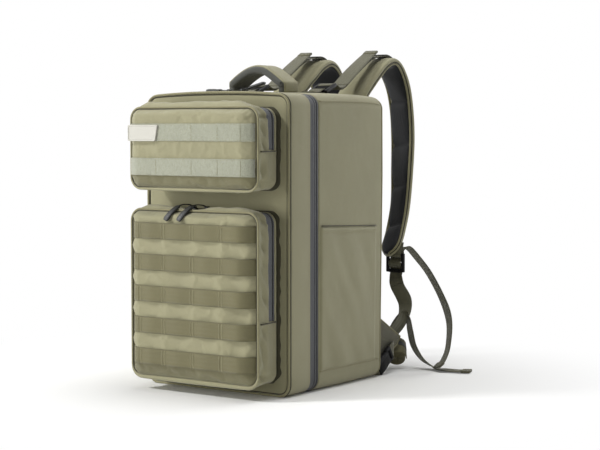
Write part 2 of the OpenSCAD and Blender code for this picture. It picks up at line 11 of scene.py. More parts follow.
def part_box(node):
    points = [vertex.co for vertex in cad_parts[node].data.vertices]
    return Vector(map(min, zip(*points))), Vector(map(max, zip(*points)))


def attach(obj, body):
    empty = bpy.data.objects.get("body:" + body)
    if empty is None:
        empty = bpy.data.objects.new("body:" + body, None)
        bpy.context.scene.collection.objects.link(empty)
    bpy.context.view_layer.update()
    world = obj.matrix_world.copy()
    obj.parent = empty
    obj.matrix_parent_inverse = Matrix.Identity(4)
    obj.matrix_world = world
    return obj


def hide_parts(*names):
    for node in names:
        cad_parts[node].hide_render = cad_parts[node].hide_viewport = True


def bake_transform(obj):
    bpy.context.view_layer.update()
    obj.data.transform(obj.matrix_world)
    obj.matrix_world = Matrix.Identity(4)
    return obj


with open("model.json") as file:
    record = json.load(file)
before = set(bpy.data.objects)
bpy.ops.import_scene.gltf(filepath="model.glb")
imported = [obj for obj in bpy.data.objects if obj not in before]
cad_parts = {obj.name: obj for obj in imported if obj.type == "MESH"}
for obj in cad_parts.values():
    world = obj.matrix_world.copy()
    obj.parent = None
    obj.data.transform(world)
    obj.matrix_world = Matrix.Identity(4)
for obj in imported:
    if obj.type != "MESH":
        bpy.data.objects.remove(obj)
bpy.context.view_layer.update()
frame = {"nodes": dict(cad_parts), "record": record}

MM = 0.001
SIDES = (("right", 1), ("left", -1))


def cad(node):
    """Lowest and highest corner of a CAD node, in millimetres."""
    low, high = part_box(node)
    return np.array(low) / MM, np.array(high) / MM


# Driving places, read from the frame

SHELL_LOW, SHELL_HIGH = cad("rear_shell")
HALF_W, CASE_H = SHELL_HIGH[0], SHELL_HIGH[2]
Y_SHELL, Y_BACK = SHELL_LOW[1], SHELL_HIGH[1]
Y_FRONT, Y_LID = [corner[1] for corner in cad("lid_shell")]
Y_SPLIT = cad("rear_zipper_tape")[0][1]
POCKET_HALF = cad("lower_pocket_body")[1][0]
Y_POCKET = cad("lower_pocket_flap")[0][1]
FLAP_COVER = 6.0
Y_TAPE = cad("lower_zip_front")[0][1] - FLAP_COVER
Y_ZIP_MID, Y_ZIP_REAR = [corner[1] for corner in cad("pocket_zip_rear")]
HINGE_LOW, HINGE_HIGH = cad("hinge_gusset")


# Mesh shapes: each is points in millimetres, faces and a place on the cloth for every point

def xyz(x, y, z):
    """Points from three coordinates, any of which may be a single number."""
    return np.stack(np.broadcast_arrays(x, y, z), axis=-1).astype(float)


def surface(points, close_u=False, close_v=False, cloth=None):
    """Faces over a grid of points, with its cloth coordinates."""
    nu, nv = points.shape[:2]
    at = np.arange(nu * nv).reshape(nu, nv)
    if close_u:
        at = np.vstack([at, at[:1]])
    if close_v:
        at = np.hstack([at, at[:, :1]])
    quads = np.stack([at[:-1, :-1], at[:-1, 1:], at[1:, 1:], at[1:, :-1]], axis=-1).reshape(-1, 4)
    flat = points.reshape(-1, 3)
    if cloth is None:
        cloth = flat[:, [0, 2]]
    return flat, quads.tolist(), np.asarray(cloth, float).reshape(-1, 2)


def capped(shape, ring):
    """A shape of rings of so many points, with its first and last ring filled."""
    verts, faces, cloth = shape
    last = len(verts) - 1
    return verts, faces + [list(range(ring)), list(range(last, last - ring, -1))], cloth


def join(*shapes):
    """Several shapes as one."""
    verts, faces, cloth, start = [], [], [], 0
    for v, f, c in shapes:
        verts.append(v)
        cloth.append(c)
        faces += [[i + start for i in face] for face in f]
        start += len(v)
    return np.vstack(verts), faces, np.vstack(cloth)


def moved(shape, *changes):
    """A shape whose points are changed by functions of the point array, one after the other."""
    points = shape[0].copy()
    for change in changes:
        points = change(points)
    return points, shape[1], shape[2]


def mirrored(shape):
    """The shape on the other side of the case."""
    verts, faces, cloth = shape
    return verts * np.array([-1, 1, 1]), [face[::-1] for face in faces], cloth


def rounded_rect(x0, x1, z0, z1, radius, step=7.0, arc_step=4.0):
    """Outline in X and Z, anticlockwise seen from the front, and its outward normals."""
    corners = ((x1 - radius, z0 + radius), (x1 - radius, z1 - radius),
               (x0 + radius, z1 - radius), (x0 + radius, z0 + radius))
    points, normals = [], []
    for k, centre in enumerate(corners):
        n = max(3, int(math.ceil(radius * math.pi / 2 / arc_step)))
        turn = np.radians(90 * (k - 1) + np.linspace(0, 90, n + 1))
        ray = np.stack([np.cos(turn), np.sin(turn)], axis=1)
        arc = np.array(centre) + radius * ray
        end = np.array(corners[(k + 1) % 4]) + radius * ray[-1]
        m = max(2, int(round(np.linalg.norm(end - arc[-1]) / step)))
        run = arc[-1] + (end - arc[-1]) * (np.arange(1, m) / m)[:, None]
        points += [arc, run]
        normals += [ray, np.repeat(ray[-1:], m - 1, axis=0)]
    return np.vstack(points), np.vstack(normals)


def rings(outline, stations):
    """Rings of an outline at stations of (y, inset), or of (y, inset, share) where it swells."""
    points, normals = outline[:2]
    out = []
    for y, inset, *share in stations:
        reach = (outline[2] * share[0] if share else 0.0) - inset + np.zeros(len(points))
        ring = points + normals * reach[:, None]
        out.append(xyz(ring[:, 0], y, ring[:, 1]))
    return np.array(out)


def panel(ring, shares):
    """Rings that shrink from an edge ring to its middle, for a flat face."""
    middle = (ring.min(0) + ring.max(0)) / 2
    return np.array([middle + (ring - middle) * share for share in shares])


def closed_rings(all_rings):
    """Rings joined into one closed skin, with both ends filled."""
    points = np.array(all_rings)
    return capped(surface(points, False, True), points.shape[1])


def strip(outline, profile, closed=True):
    """A band along an outline whose section is a loop of (y, inset) points."""
    shape = surface(rings(outline, profile).transpose(1, 0, 2), closed, True)
    return shape if closed else capped(shape, len(profile))


def smooth_path(points, n):
    """A curve through the rows of a table, with n steps between two rows."""
    rows = np.array(points, float)
    ends = np.vstack([2 * rows[0] - rows[1], rows, 2 * rows[-1] - rows[-2]])
    out = []
    for i in range(1, len(ends) - 2):
        a, b, c, d = ends[i - 1:i + 3]
        for t in np.arange(n) / n:
            out.append(0.5 * (2 * b + (c - a) * t + (2 * a - 5 * b + 4 * c - d) * t ** 2
                              + (3 * b - a - 3 * c + d) * t ** 3))
    return np.array(out + [rows[-1]])


def unit(v):
    return v / np.maximum(np.linalg.norm(v, axis=-1, keepdims=True), 1e-9)


def distance_along(path):
    return np.concatenate([[0], np.cumsum(np.linalg.norm(np.diff(path, axis=0), axis=1))])


def path_frames(path, side, closed=False):
    """Tangent, width and thickness directions along a path."""
    if closed:
        along = unit(np.roll(path, -1, axis=0) - np.roll(path, 1, axis=0))
    else:
        along = unit(np.gradient(path, axis=0))
    side = np.broadcast_to(np.asarray(side, float), path.shape)
    across = unit(side - along * np.sum(side * along, axis=1, keepdims=True))
    return along, across, np.cross(along, across)


def sweep(path, side, section, widths=1.0, heights=1.0, closed=False):
    """A section of (across, out) points carried along a path, with closed ends."""
    path, section = np.asarray(path, float), np.asarray(section, float)
    across, out = path_frames(path, side, closed)[1:]
    n, m = len(path), len(section)
    widths = np.broadcast_to(np.asarray(widths, float), (n,))[:, None, None]
    heights = np.broadcast_to(np.asarray(heights, float), (n,))[:, None, None]
    points = (path[:, None] + across[:, None] * section[None, :, :1] * widths
              + out[:, None] * section[None, :, 1:] * heights)
    wide = section[None, :, 0] * widths[:, :, 0]
    cloth = np.stack(np.broadcast_arrays(wide, distance_along(path)[:, None]), axis=-1)
    shape = surface(points, closed, True, cloth)
    return shape if closed else capped(shape, m)


def circle(radius, sides):
    turn = np.arange(sides) * 2 * math.pi / sides
    return np.stack([radius * np.cos(turn), radius * np.sin(turn)], axis=1)


def band(width, thickness, steps=5):
    """Section of a flat band with rounded selvages."""
    x = np.linspace(-0.5, 0.5, steps + 1) * (width - thickness * 0.6)
    half, edge = width / 2, thickness * 0.224
    top = [(v, thickness / 2) for v in x]
    low = [(v, -thickness / 2) for v in x[::-1]]
    return top + [(half, edge), (half, -edge)] + low + [(-half, -edge), (-half, edge)]


def pillow(width, thickness, sides, square, round_off):
    """Section of a padded strip: full in its middle, round at its edges."""
    turn = np.arange(sides) * 2 * math.pi / sides
    c, s = np.cos(turn), np.sin(turn)
    return np.stack([width / 2 * np.sign(c) * np.abs(c) ** square,
                     thickness / 2 * np.sign(s) * np.abs(s) ** round_off], axis=1)


CORD_SIDE = (0.02, 1.0, 0.03)


def tube(path, radius, closed=False):
    """A round cord along a path."""
    return sweep(path, CORD_SIDE, circle(radius, 8), closed=closed)


def ring_tube(outline, y, inset, radius):
    return tube(rings(outline, [(y, inset)])[0], radius, closed=True)


def rounded_box(low, high, radius, cell, puff=0.0):
    """A box with round edges, whose broad faces swell by puff."""
    low, high = np.array(low, float), np.array(high, float)
    ticks = []
    for a, b in zip(low, high):
        r = min(radius, (b - a) / 2 - 0.01)
        n = max(1, int(round((b - a - 2 * r) / cell)))
        edge = r * (1 - np.cos(np.linspace(0, math.pi / 2, 4)))[:-1]
        ticks.append(np.concatenate([a + edge, np.linspace(a + r, b - r, n + 1), (b - edge)[::-1]]))
    size = [len(t) for t in ticks]
    index, verts, faces = {}, [], []

    def corner(key):
        if key not in index:
            index[key] = len(verts)
            verts.append([t[k] for t, k in zip(ticks, key)])
        return index[key]

    for axis in range(3):
        u, v = (axis + 1) % 3, (axis + 2) % 3
        for end in (0, size[axis] - 1):
            for i, j in np.ndindex(size[u] - 1, size[v] - 1):
                loop = []
                for di, dj in ((0, 0), (1, 0), (1, 1), (0, 1)):
                    key = {axis: end, u: i + di, v: j + dj}
                    loop.append(corner((key[0], key[1], key[2])))
                faces.append(loop if end else loop[::-1])
    q = np.array(verts)
    r = np.minimum(radius, (high - low) / 2 - 0.01)
    core = np.clip(q, low + r, high - r)
    away = q - core
    q = core + unit(away / r) * r * (np.abs(away).sum(1, keepdims=True) > 1e-9)
    if puff:
        thin = int(np.argmin(high - low))
        share = np.ones(len(q))
        for axis in range(3):
            if axis != thin:
                t = (q[:, axis] - low[axis]) / (high[axis] - low[axis])
                share *= np.clip(4 * t * (1 - t), 0, 1) ** 0.6
        q[:, thin] += np.sign(q[:, thin] - (low[thin] + high[thin]) / 2) * puff * share
    return q, faces, q[:, [0, 2]]


def box(x, y, z, radius):
    """A small rounded block from its three spans."""
    return rounded_box((x[0], y[0], z[0]), (x[1], y[1], z[1]), radius, cell=6.0)


def placed(shape, origin, turn):
    """A shape turned by a matrix and set at an origin."""
    return moved(shape, lambda v: v @ np.array(turn).T + np.array(origin, float))


def turned_about(axis, degrees):
    return Matrix.Rotation(math.radians(degrees), 3, axis)


STITCH_FACES = ((0, 3, 2), (0, 4, 3), (0, 5, 4), (0, 2, 5), (1, 2, 3), (1, 3, 4), (1, 4, 5), (1, 5, 2))


def stitches(path, out, pitch=4.2, length=3.0, radius=0.42):
    """A row of stitches on a path, each a small spindle of thread."""
    path = np.asarray(path, float)
    out = np.broadcast_to(np.asarray(out, float), path.shape)
    place = distance_along(path)

    def read(table, s):
        return np.stack([np.interp(s, place, table[:, i]) for i in range(3)], axis=1)

    at = np.arange(pitch / 2, place[-1], pitch)
    along = unit(read(path, at + 0.3) - read(path, at - 0.3))
    across = unit(np.cross(along, read(out, at)))
    up = unit(np.cross(across, along))
    shapes = []
    for p, t, a, u in zip(read(path, at), along * length / 2, across * radius, up * radius):
        verts = np.array([p - t, p + t, p + a, p + u, p - a, p - u])
        shapes.append((verts, [list(face) for face in STITCH_FACES], np.zeros((6, 2))))
    return join(*shapes)


def crossed_box(corners, out, *stitch):
    """Rows of stitches round four corners and over both diagonals."""
    pairs = ((0, 1), (1, 2), (2, 3), (3, 0), (0, 2), (1, 3))
    return [stitches(np.array([corners[i], corners[j]]), out, *stitch) for i, j in pairs]


def piece(name, shape, material, body, replaces=(), flat=False):
    """A named mesh that rides on a body, or is left free of any body."""
    verts, faces, cloth = shape
    mesh = bpy.data.meshes.new(name)
    mesh.from_pydata((verts * MM).tolist(), [], faces)
    outward = bmesh.new()
    outward.from_mesh(mesh)
    bmesh.ops.recalc_face_normals(outward, faces=outward.faces)
    outward.to_mesh(mesh)
    outward.free()
    layer = mesh.uv_layers.new(name="cloth")
    corner = np.zeros(len(mesh.loops), dtype=np.int32)
    mesh.loops.foreach_get("vertex_index", corner)
    layer.data.foreach_set("uv", (cloth * MM)[corner].astype(np.float32).ravel())
    mesh.polygons.foreach_set("use_smooth", [not flat] * len(mesh.polygons))
    mesh.materials.append(material)
    obj = bpy.data.objects.new(name, mesh)
    bpy.context.scene.collection.objects.link(obj)
    if body:
        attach(obj, body)
    if replaces:
        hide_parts(*replaces)
    return obj


def sided(side, label, shape, material, body, replaces=()):
    """A piece that is drawn for the right side and mirrored for the left one."""
    name, sign = side
    return piece(label + "_" + name, shape if sign > 0 else mirrored(shape), material, body, replaces)


def paint(obj, material, chosen):
    """A second material on the faces whose number is chosen."""
    obj.data.materials.append(material)
    for face in obj.data.polygons:
        if chosen(face.index):
            face.material_index = len(obj.data.materials) - 1


def rumple(obj, height, size, seed):
    """Loose cloth: points move along their normals by a smooth noise."""
    for vertex in obj.data.vertices:
        at = vertex.co / (size * MM) + Vector((seed, seed * 1.7, seed * 2.3))
        value = noise.noise(at) + 0.5 * noise.noise(at * 2.1)
        vertex.co += vertex.normal * (value * height * MM)


def islands(node_name):
    """Corners of each separate solid of a CAD node, in millimetres."""
    mesh = frame["nodes"][node_name].data
    points = np.array([v.co[:] for v in mesh.vertices]) / MM
    numbers = {}
    index = [numbers.setdefault(tuple(np.round(p, 2)), len(numbers)) for p in points]
    parent = list(range(len(numbers)))

    def root(i):
        while parent[i] != i:
            i = parent[i]
        return i

    for face in mesh.polygons:
        for v in face.vertices[1:]:
            parent[root(index[v])] = root(index[face.vertices[0]])
    groups = {}
    for i, p in zip(index, points):
        groups.setdefault(root(i), []).append(p)
    found = [(np.min(g, axis=0), np.max(g, axis=0)) for g in groups.values()]
    return sorted(found, key=lambda pair: tuple(np.round(pair[0], 1)))


# Materials


class Nodes:
    """A node tree, with short names for the nodes that the materials need."""

    def __init__(self, tree):
        self.tree = tree

    def feed(self, socket, value):
        """Links a socket to what another node makes, or sets it to a constant."""
        if isinstance(value, bpy.types.NodeSocket):
            self.tree.links.new(value, socket)
        else:
            socket.default_value = value

    def add(self, kind, inputs, **settings):
        made = self.tree.nodes.new("ShaderNode" + kind)
        for key, value in settings.items():
            setattr(made, key, value)
        for key, value in inputs.items():
            self.feed(made.inputs[key], value)
        return made.outputs

    def calc(self, operation, *values, clamp=False):
        return self.add("Math", dict(enumerate(values)), operation=operation, use_clamp=clamp)[0]

    def vector(self, operation, *values):
        return self.add("VectorMath", dict(enumerate(values)), operation=operation)

    def mix(self, share, a, b):
        return self.add("Mix", {"Factor": share, 6: a, 7: b}, data_type="RGBA")[2]

    def seen(self):
        """1 for what the camera sees by itself, in a reflection or through glass."""
        ray = self.add("LightPath", {})
        indirect = self.calc("MAXIMUM", ray["Is Glossy Ray"], ray["Is Transmission Ray"])
        return self.calc("MAXIMUM", ray["Is Camera Ray"], indirect)


class Finish(Nodes):
    """A procedural material in the making."""

    def __init__(self, name, slot, **constants):
        self.material = bpy.data.materials.new(name)
        self.material.use_nodes = True
        super().__init__(self.material.node_tree)
        self.shader = self.tree.nodes["Principled BSDF"].inputs
        for socket, value in constants.items():
            self.shader[socket.replace("_", " ")].default_value = value
        self.where = self.add("TexCoord", {})

    def gives(self, colour, normal, rough=None):
        """The finished material, from the values of its shader."""
        self.feed(self.shader["Base Color"], colour)
        self.feed(self.shader["Normal"], normal)
        if rough is not None:
            self.feed(self.shader["Roughness"], rough)
        return self.material

    def cloud(self, scale, detail=3.0):
        return self.add("TexNoise", {"Vector": self.where["Object"], "Scale": scale, "Detail": detail})["Fac"]

    def cells(self, scale, randomness):
        inputs = {"Vector": self.where["Object"], "Scale": scale, "Randomness": randomness}
        return self.add("TexVoronoi", inputs)["Distance"]

    def weighted(self, a, weight_a, b, weight_b):
        return self.calc("ADD", self.calc("MULTIPLY", a, weight_a), self.calc("MULTIPLY", b, weight_b))

    def shades(self, share, colour, dark, bright):
        return self.mix(share, shaded(colour, dark), shaded(colour, bright))

    def bump(self, height, distance, strength, **under):
        return self.add("Bump", {"Height": height, "Distance": distance, "Strength": strength, **under})[0]

    def weave(self, pitch):
        """Over and under of yarns, on the plane that each face lies nearest to."""
        turns = self.vector("MULTIPLY", self.where["Object"], (2 * math.pi / pitch,) * 3)[0]
        wave = self.add("SeparateXYZ", {0: self.vector("SINE", turns)[0]})
        face = self.add("SeparateXYZ", {0: self.vector("ABSOLUTE", self.where["Normal"])[0]})
        terms = [self.calc("MULTIPLY", self.calc("MULTIPLY", wave[a], wave[b]), face[c])
                 for a, b, c in ((0, 2, 1), (1, 2, 0), (0, 1, 2))]
        return self.calc("ADD", self.calc("ADD", terms[0], terms[1]), terms[2])


def linear(*rgb):
    """A colour written as 0 to 255 screen values."""
    c = np.array(rgb) / 255
    c = np.where(c <= 0.04045, c / 12.92, ((c + 0.055) / 1.055) ** 2.4)
    return (*c.tolist(), 1.0)


def shaded(colour, factor):
    return (colour[0] * factor, colour[1] * factor, colour[2] * factor, 1.0)


def fabric(name, slot, colour, pitch, rough=0.82, crease=0.5):
    """Coated woven nylon: yarns with painted shade between them, mottled dye and soft creases."""
    f = Finish(name, slot, Sheen_Weight=0.25, Sheen_Roughness=0.5, Specular_IOR_Level=0.3)
    yarn = f.calc("MULTIPLY_ADD", f.weave(pitch * MM), 0.5, 0.5)
    fine = f.cloud(420.0, 2.0)
    dyed = f.shades(f.weighted(f.cloud(14.0, 4.0), 0.55, fine, 0.45), colour, 0.84, 1.16)
    gap_shade = f.calc("MULTIPLY", f.calc("SUBTRACT", 1.0, yarn), 0.32)
    folds = f.bump(f.cloud(26.0), 3.0 * MM, crease)
    return f.gives(f.mix(gap_shade, dyed, shaded(colour, 0.5)), f.bump(yarn, 0.35 * MM, 0.7, Normal=folds),
                   f.calc("MULTIPLY_ADD", fine, 0.16, rough - 0.08))


def webbing(name, slot, colour, rib=1.5):
    """Narrow woven band: ribs across it, lengthwise yarns with painted shade in their hollows, and a tight
    selvage.
    """
    f = Finish(name, slot, Sheen_Weight=0.3, Sheen_Roughness=0.4, Specular_IOR_Level=0.35)
    across, along = f.add("SeparateXYZ", {0: f.where["UV"]})[:2]
    per_rib = 2 * math.pi / (rib * MM)
    yarn = f.calc("SINE", f.calc("MULTIPLY", across, per_rib))
    slant = f.calc("ADD", along, f.calc("PINGPONG", across, 3.2 * MM))
    weft = f.calc("SINE", f.calc("MULTIPLY", slant, per_rib / 1.2))
    height = f.weighted(yarn, 0.35, weft, 0.5)
    selvage = f.calc("GREATER_THAN", f.calc("ABSOLUTE", across), 11.2 * MM)
    tone = f.weighted(f.cloud(300.0, 2.0), 0.4, f.cloud(22.0), 0.6)
    gap_shade = f.calc("MULTIPLY", f.calc("SUBTRACT", 0.85, height), 0.22, clamp=True)
    dyed = f.mix(gap_shade, f.shades(tone, colour, 0.8, 1.2), shaded(colour, 0.45))
    return f.gives(f.mix(f.calc("MULTIPLY", selvage, 0.35), dyed, shaded(colour, 0.6)),
                   f.bump(height, 0.4 * MM, 0.8), f.calc("MULTIPLY_ADD", tone, 0.2, 0.62))


def loop_pile(name, slot, colour):
    """Brushed loop fastener: matted curls with painted shade between them, and flattened patches."""
    f = Finish(name, slot, Sheen_Weight=0.6, Sheen_Roughness=0.6, Specular_IOR_Level=0.2, Roughness=0.95)
    curls, matted = f.cells(900.0, 1.0), f.cloud(160.0, 4.0)
    pale = f.shades(f.weighted(matted, 0.6, f.cloud(30.0), 0.4), colour, 0.72, 1.22)
    height = f.calc("SUBTRACT", matted, f.calc("MULTIPLY", curls, 0.8))
    return f.gives(f.mix(f.calc("MULTIPLY", curls, 0.55), pale, shaded(colour, 0.45)),
                   f.bump(height, 1.0 * MM, 0.9))


def air_mesh(name, slot, colour):
    """Spacer mesh: a knit face with rows of open cells, painted dark as shade inside them."""
    f = Finish(name, slot, Sheen_Weight=0.15, Sheen_Roughness=0.4, Specular_IOR_Level=0.3)
    holes = f.calc("MULTIPLY", f.cells(1 / (2.6 * MM), 0.35), 1.2)
    open_share = f.calc("SUBTRACT", 0.62, holes, clamp=True)
    broad = f.cloud(40.0)
    return f.gives(f.mix(open_share, f.shades(broad, colour, 0.75, 1.3), shaded(colour, 0.25)),
                   f.bump(f.calc("SUBTRACT", 1.0, open_share), 0.9 * MM, 0.8),
                   f.calc("MULTIPLY_ADD", broad, 0.2, 0.62))


def moulded(name, slot, colour, rough, metallic=0.0, wear=0.25, gloss=0.5):
    """Moulded or die-cast part: fine grain, faint mottling and rubbed spots."""
    f = Finish(name, slot, Metallic=metallic, Specular_IOR_Level=gloss)
    spots = f.cloud(90.0, 4.0)
    return f.gives(f.shades(f.calc("MULTIPLY", spots, wear), colour, 0.9, 2.0),
                   f.bump(f.cloud(520.0, 2.0), 0.15 * MM, 0.5),
                   f.calc("MULTIPLY_ADD", spots, 0.3, rough - 0.15))


OLIVE_CLOTH = fabric("olive_cloth", "olive_fabric", linear(155, 151, 120), 1.7)
OLIVE_TRIM = fabric("olive_trim", "olive_fabric", linear(146, 141, 108), 1.2, crease=0.2)
# Painted shade: a darker olive for the wings, in place of the shadow the case casts on them.
OLIVE_WING_SHADE = fabric("olive_dark", "olive_fabric", linear(88, 85, 64), 1.1, rough=0.75, crease=0.4)
# Darker olive for the lowest band of each pocket panel: painted shade where the cloth rolls under, on the
# lower pocket also a darker base band.
OLIVE_BASE_AND_SHADE = fabric("olive_base", "olive_fabric", linear(120, 116, 86), 1.3, crease=0.3)
# Dark olive for seams, and for painted shade in creases, in crevices and under hems.
OLIVE_SEAM_SHADE = fabric("olive_seam", "olive_fabric", linear(70, 67, 48), 1.2, crease=0.1)
OLIVE_WEB = webbing("olive_web", "webbing", linear(120, 115, 83))
STRAP_WEB = webbing("strap_web", "webbing", linear(100, 98, 77))
THREAD = webbing("thread", "webbing", linear(172, 166, 128), rib=0.4)
LOOP_PILE = loop_pile("loop_pile", "loop_fabric", linear(168, 170, 148))
MESH = air_mesh("black_mesh", "mesh", linear(25, 26, 28))
LINING = fabric("grey_lining", "lining", linear(72, 74, 72), 1.0, rough=0.7, crease=0.3)
HANDLE_GREY = fabric("handle_grey", "lining", linear(84, 85, 80), 1.3, rough=0.8, crease=0.3)
FOAM_CLOTH = loop_pile("foam_cloth", "foam", linear(78, 80, 80))
BOARD = moulded("grey_board", "board", linear(60, 60, 58), 0.6)
ZIP_TAPE = fabric("slate_tape", "zip_tape", linear(98, 100, 104), 0.9, rough=0.6, crease=0.1)
ZIP_COIL = moulded("zip_coil", "zip_tape", linear(38, 39, 42), 0.45)
ZIP_METAL = moulded("black_metal", "zip_metal", linear(44, 45, 46), 0.36, metallic=0.7)
PULL_RUBBER = moulded("pull_rubber", "zip_metal", linear(46, 47, 46), 0.5)
PLASTIC = moulded("black_plastic", "buckle_plastic", linear(14, 14, 15), 0.5, gloss=0.16)
LABEL = moulded("label_rubber", "label", linear(196, 194, 184), 0.55, wear=0.05)
NODE_FINISH = {"olive_fabric": OLIVE_CLOTH, "webbing": STRAP_WEB, "loop_fabric": LOOP_PILE, "label": LABEL,
               "zip_tape": ZIP_TAPE, "zip_metal": ZIP_METAL, "buckle_plastic": PLASTIC, "mesh": MESH,
               "lining": LINING, "foam": FOAM_CLOTH, "board": BOARD}


def finish_nodes():
    """Every CAD node gets the material of its slot."""
    for part in frame["record"]["subparts"]:
        mesh = frame["nodes"][part["node"]].data
        mesh.materials.clear()
        mesh.materials.append(NODE_FINISH[part["material_slot"]])


# Camera, floor and light

CAMERA_TURN, CAMERA_TILT = math.radians(34.935), math.radians(3.577)
CAMERA_PLACE = (1564.7, -2141.2, 423.1)
FOCAL_PIXELS, PHOTO_W = 1601.98, 600
SENSOR_W = 36.0
FLOOR_HALF, FLOOR_Z = 14.0, -0.0005
FLOOR_COLOUR, FADE_FROM, FADE_TO = (0.93, 0.93, 0.92, 1), 0.22, 0.7
AMBIENT = 0.15
LAMPS = (
    ("key", (-2.0, -2.3, 2.7), (0, -0.1, 0.25), 0.7, 92.0),
    ("front", (-1.4, -2.7, 0.6), (0, -0.1, 0.15), 1.4, 40.0),
    ("top", (0.2, 0.3, 3.0), (0, 0, 0.3), 1.6, 42.0),
    ("fill", (0.8, 1.4, 0.55), (0.14, 0, 0.25), 0.8, 5.8),
    ("rim", (0.8, 3.0, 1.8), (0, 0.1, 0.3), 1.4, 18.0),
)


def staged(name, data):
    obj = bpy.data.objects.new(name, data)
    bpy.context.scene.collection.objects.link(obj)
    return obj


def floor_white():
    """Pale floor that takes the shadow near the object and fades to the white surroundings."""
    material = bpy.data.materials.new("floor_white")
    material.use_nodes = True
    nodes = Nodes(material.node_tree)
    shader = nodes.tree.nodes["Principled BSDF"]
    shader.inputs["Base Color"].default_value = FLOOR_COLOUR
    shader.inputs["Roughness"].default_value = 0.9
    away = nodes.vector("LENGTH", nodes.add("TexCoord", {})["Object"])["Value"]
    fade = nodes.add("MapRange", {"Value": away, "From Min": FADE_FROM, "From Max": FADE_TO},
                     interpolation_type="SMOOTHSTEP")["Result"]
    glow = nodes.add("Emission", {"Color": (1, 1, 1, 1), "Strength": 1.0})[0]
    share = nodes.calc("MULTIPLY", fade, nodes.seen())
    both = nodes.add("MixShader", {0: share, 1: shader.outputs[0], 2: glow})[0]
    nodes.feed(nodes.tree.nodes["Material Output"].inputs["Surface"], both)
    return material


def camera_and_floor():
    """Camera at the photo's place and a pale floor."""
    camera = staged("camera", bpy.data.cameras.new("camera"))
    bpy.context.scene.camera = camera
    right = Vector((math.cos(CAMERA_TURN), math.sin(CAMERA_TURN), 0))
    level = Vector((math.sin(CAMERA_TURN), -math.cos(CAMERA_TURN), 0))
    back = level * math.cos(CAMERA_TILT) + Vector((0, 0, math.sin(CAMERA_TILT)))
    axes = Matrix((right, back.cross(right), back)).transposed().to_4x4()
    camera.matrix_world = Matrix.Translation(Vector(CAMERA_PLACE) * MM) @ axes
    camera.data.sensor_width = SENSOR_W
    camera.data.lens = FOCAL_PIXELS / PHOTO_W * SENSOR_W
    camera.data.clip_end = 60.0

    mesh = bpy.data.meshes.new("floor")
    corners = ((-1, -1), (1, -1), (1, 1), (-1, 1))
    mesh.from_pydata([(a * FLOOR_HALF, b * FLOOR_HALF, FLOOR_Z) for a, b in corners], [], [(0, 1, 2, 3)])
    mesh.materials.append(floor_white())
    staged("floor", mesh)


def lights():
    """White surroundings and soft lamps."""
    world = bpy.data.worlds.new("studio")
    bpy.context.scene.world = world
    world.use_nodes = True
    nodes = Nodes(world.node_tree)
    background = nodes.tree.nodes["Background"].inputs
    background["Color"].default_value = (1, 1, 1, 1)
    nodes.feed(background["Strength"], nodes.calc("MULTIPLY_ADD", nodes.seen(), 1.0 - AMBIENT, AMBIENT))
    for name, place, aim, size, power in LAMPS:
        lamp = staged(name, bpy.data.lights.new(name, "AREA"))
        lamp.data.shape = "DISK"
        lamp.data.size = size
        lamp.data.energy = power
        lamp.location = place
        lamp.rotation_euler = (Vector(place) - Vector(aim)).to_track_quat("Z", "Y").to_euler()
    bpy.context.scene.view_settings.view_transform = "Standard"


# Padded case and lid

CORNER_R, BACK_R, WALL = 20.0, 6.0, 6.0
TOP_RISE, TOP_SAG, TOP_SOFT = 1.5, 5.5, 60.0
CORNER_DROP, CORNER_DROP_Y = 5.0, 60.0
FLARE_Z, FLARE_X = (0, 120, 340, CASE_H), (-0.5, 0.5, 3.0, 2.0)
CASE_OUTLINE = rounded_rect(-HALF_W, HALF_W, 0, CASE_H, CORNER_R, step=9.0)
SHARES = (0.97, 0.92, 0.84, 0.74, 0.62, 0.48, 0.32, 0.16, 0.03)


def flare(v):
    """The rear of the case stands a little wider at the top than at the bottom."""
    back = np.clip((v[:, 1] - Y_SHELL) / (Y_BACK - Y_SHELL), 0, 1)
    v[:, 0] += np.sign(v[:, 0]) * np.interp(v[:, 2], FLARE_Z, FLARE_X) * back
    return v


def crown(v):
    """The soft top panel stands highest in its middle and sinks to its sides."""
    share = np.clip((v[:, 2] - CASE_H + TOP_SOFT) / TOP_SOFT, 0, 1) ** 2
    aside = np.abs(v[:, 0] / HALF_W)
    behind = np.clip((v[:, 1] - CORNER_DROP_Y) / (Y_BACK - CORNER_DROP_Y), 0, 1)
    corner = behind ** 2 * np.clip(aside, 0, 1) ** 4
    v[:, 2] += share * (TOP_RISE - TOP_SAG * aside ** 2.2 - CORNER_DROP * corner)
    v[:, 2] = np.maximum(v[:, 2], 0.0)
    return v


def swell(y0, y1, height, n):
    """Stations over a soft wall that bows out in its middle."""
    return [(y0 + (y1 - y0) * s, -height * 4 * s * (1 - s)) for s in np.linspace(0, 1, n)]


def turned_edge(y, towards):
    """Stations over a fabric edge that is turned in at a zip."""
    return [(y, 2.4), (y + 0.1 * towards, 1.0), (y + 0.9 * towards, 0.3), (y + 2.4 * towards, 0.0)]


def inside(x, half):
    """How far a place lies inside a soft panel: 1 in its middle, 0 at its edges."""
    return np.clip(1 - np.abs(x / half) ** 3, 0, 1)


def case_half(name, body, node_name, outer, inner, bulge, *changes):
    """Half of the case: lining, inner wall, outer wall and a broad face that bulges."""
    out_rings, in_rings = rings(CASE_OUTLINE, outer), rings(CASE_OUTLINE, inner)
    face = panel(out_rings[-1], SHARES)
    face[..., 1] -= bulge * inside(face[..., 0], HALF_W) * inside(face[..., 2] - CASE_H / 2, CASE_H / 2)
    skin = closed_rings([*panel(in_rings[-1], SHARES)[::-1], *in_rings[::-1], *out_rings, *face])
    obj = piece(name, moved(skin, *changes), OLIVE_CLOTH, body, [node_name])
    lined = (len(SHARES) + len(inner) - 1) * len(CASE_OUTLINE[0])
    paint(obj, LINING, lambda i: i < lined or i == len(skin[1]) - 2)


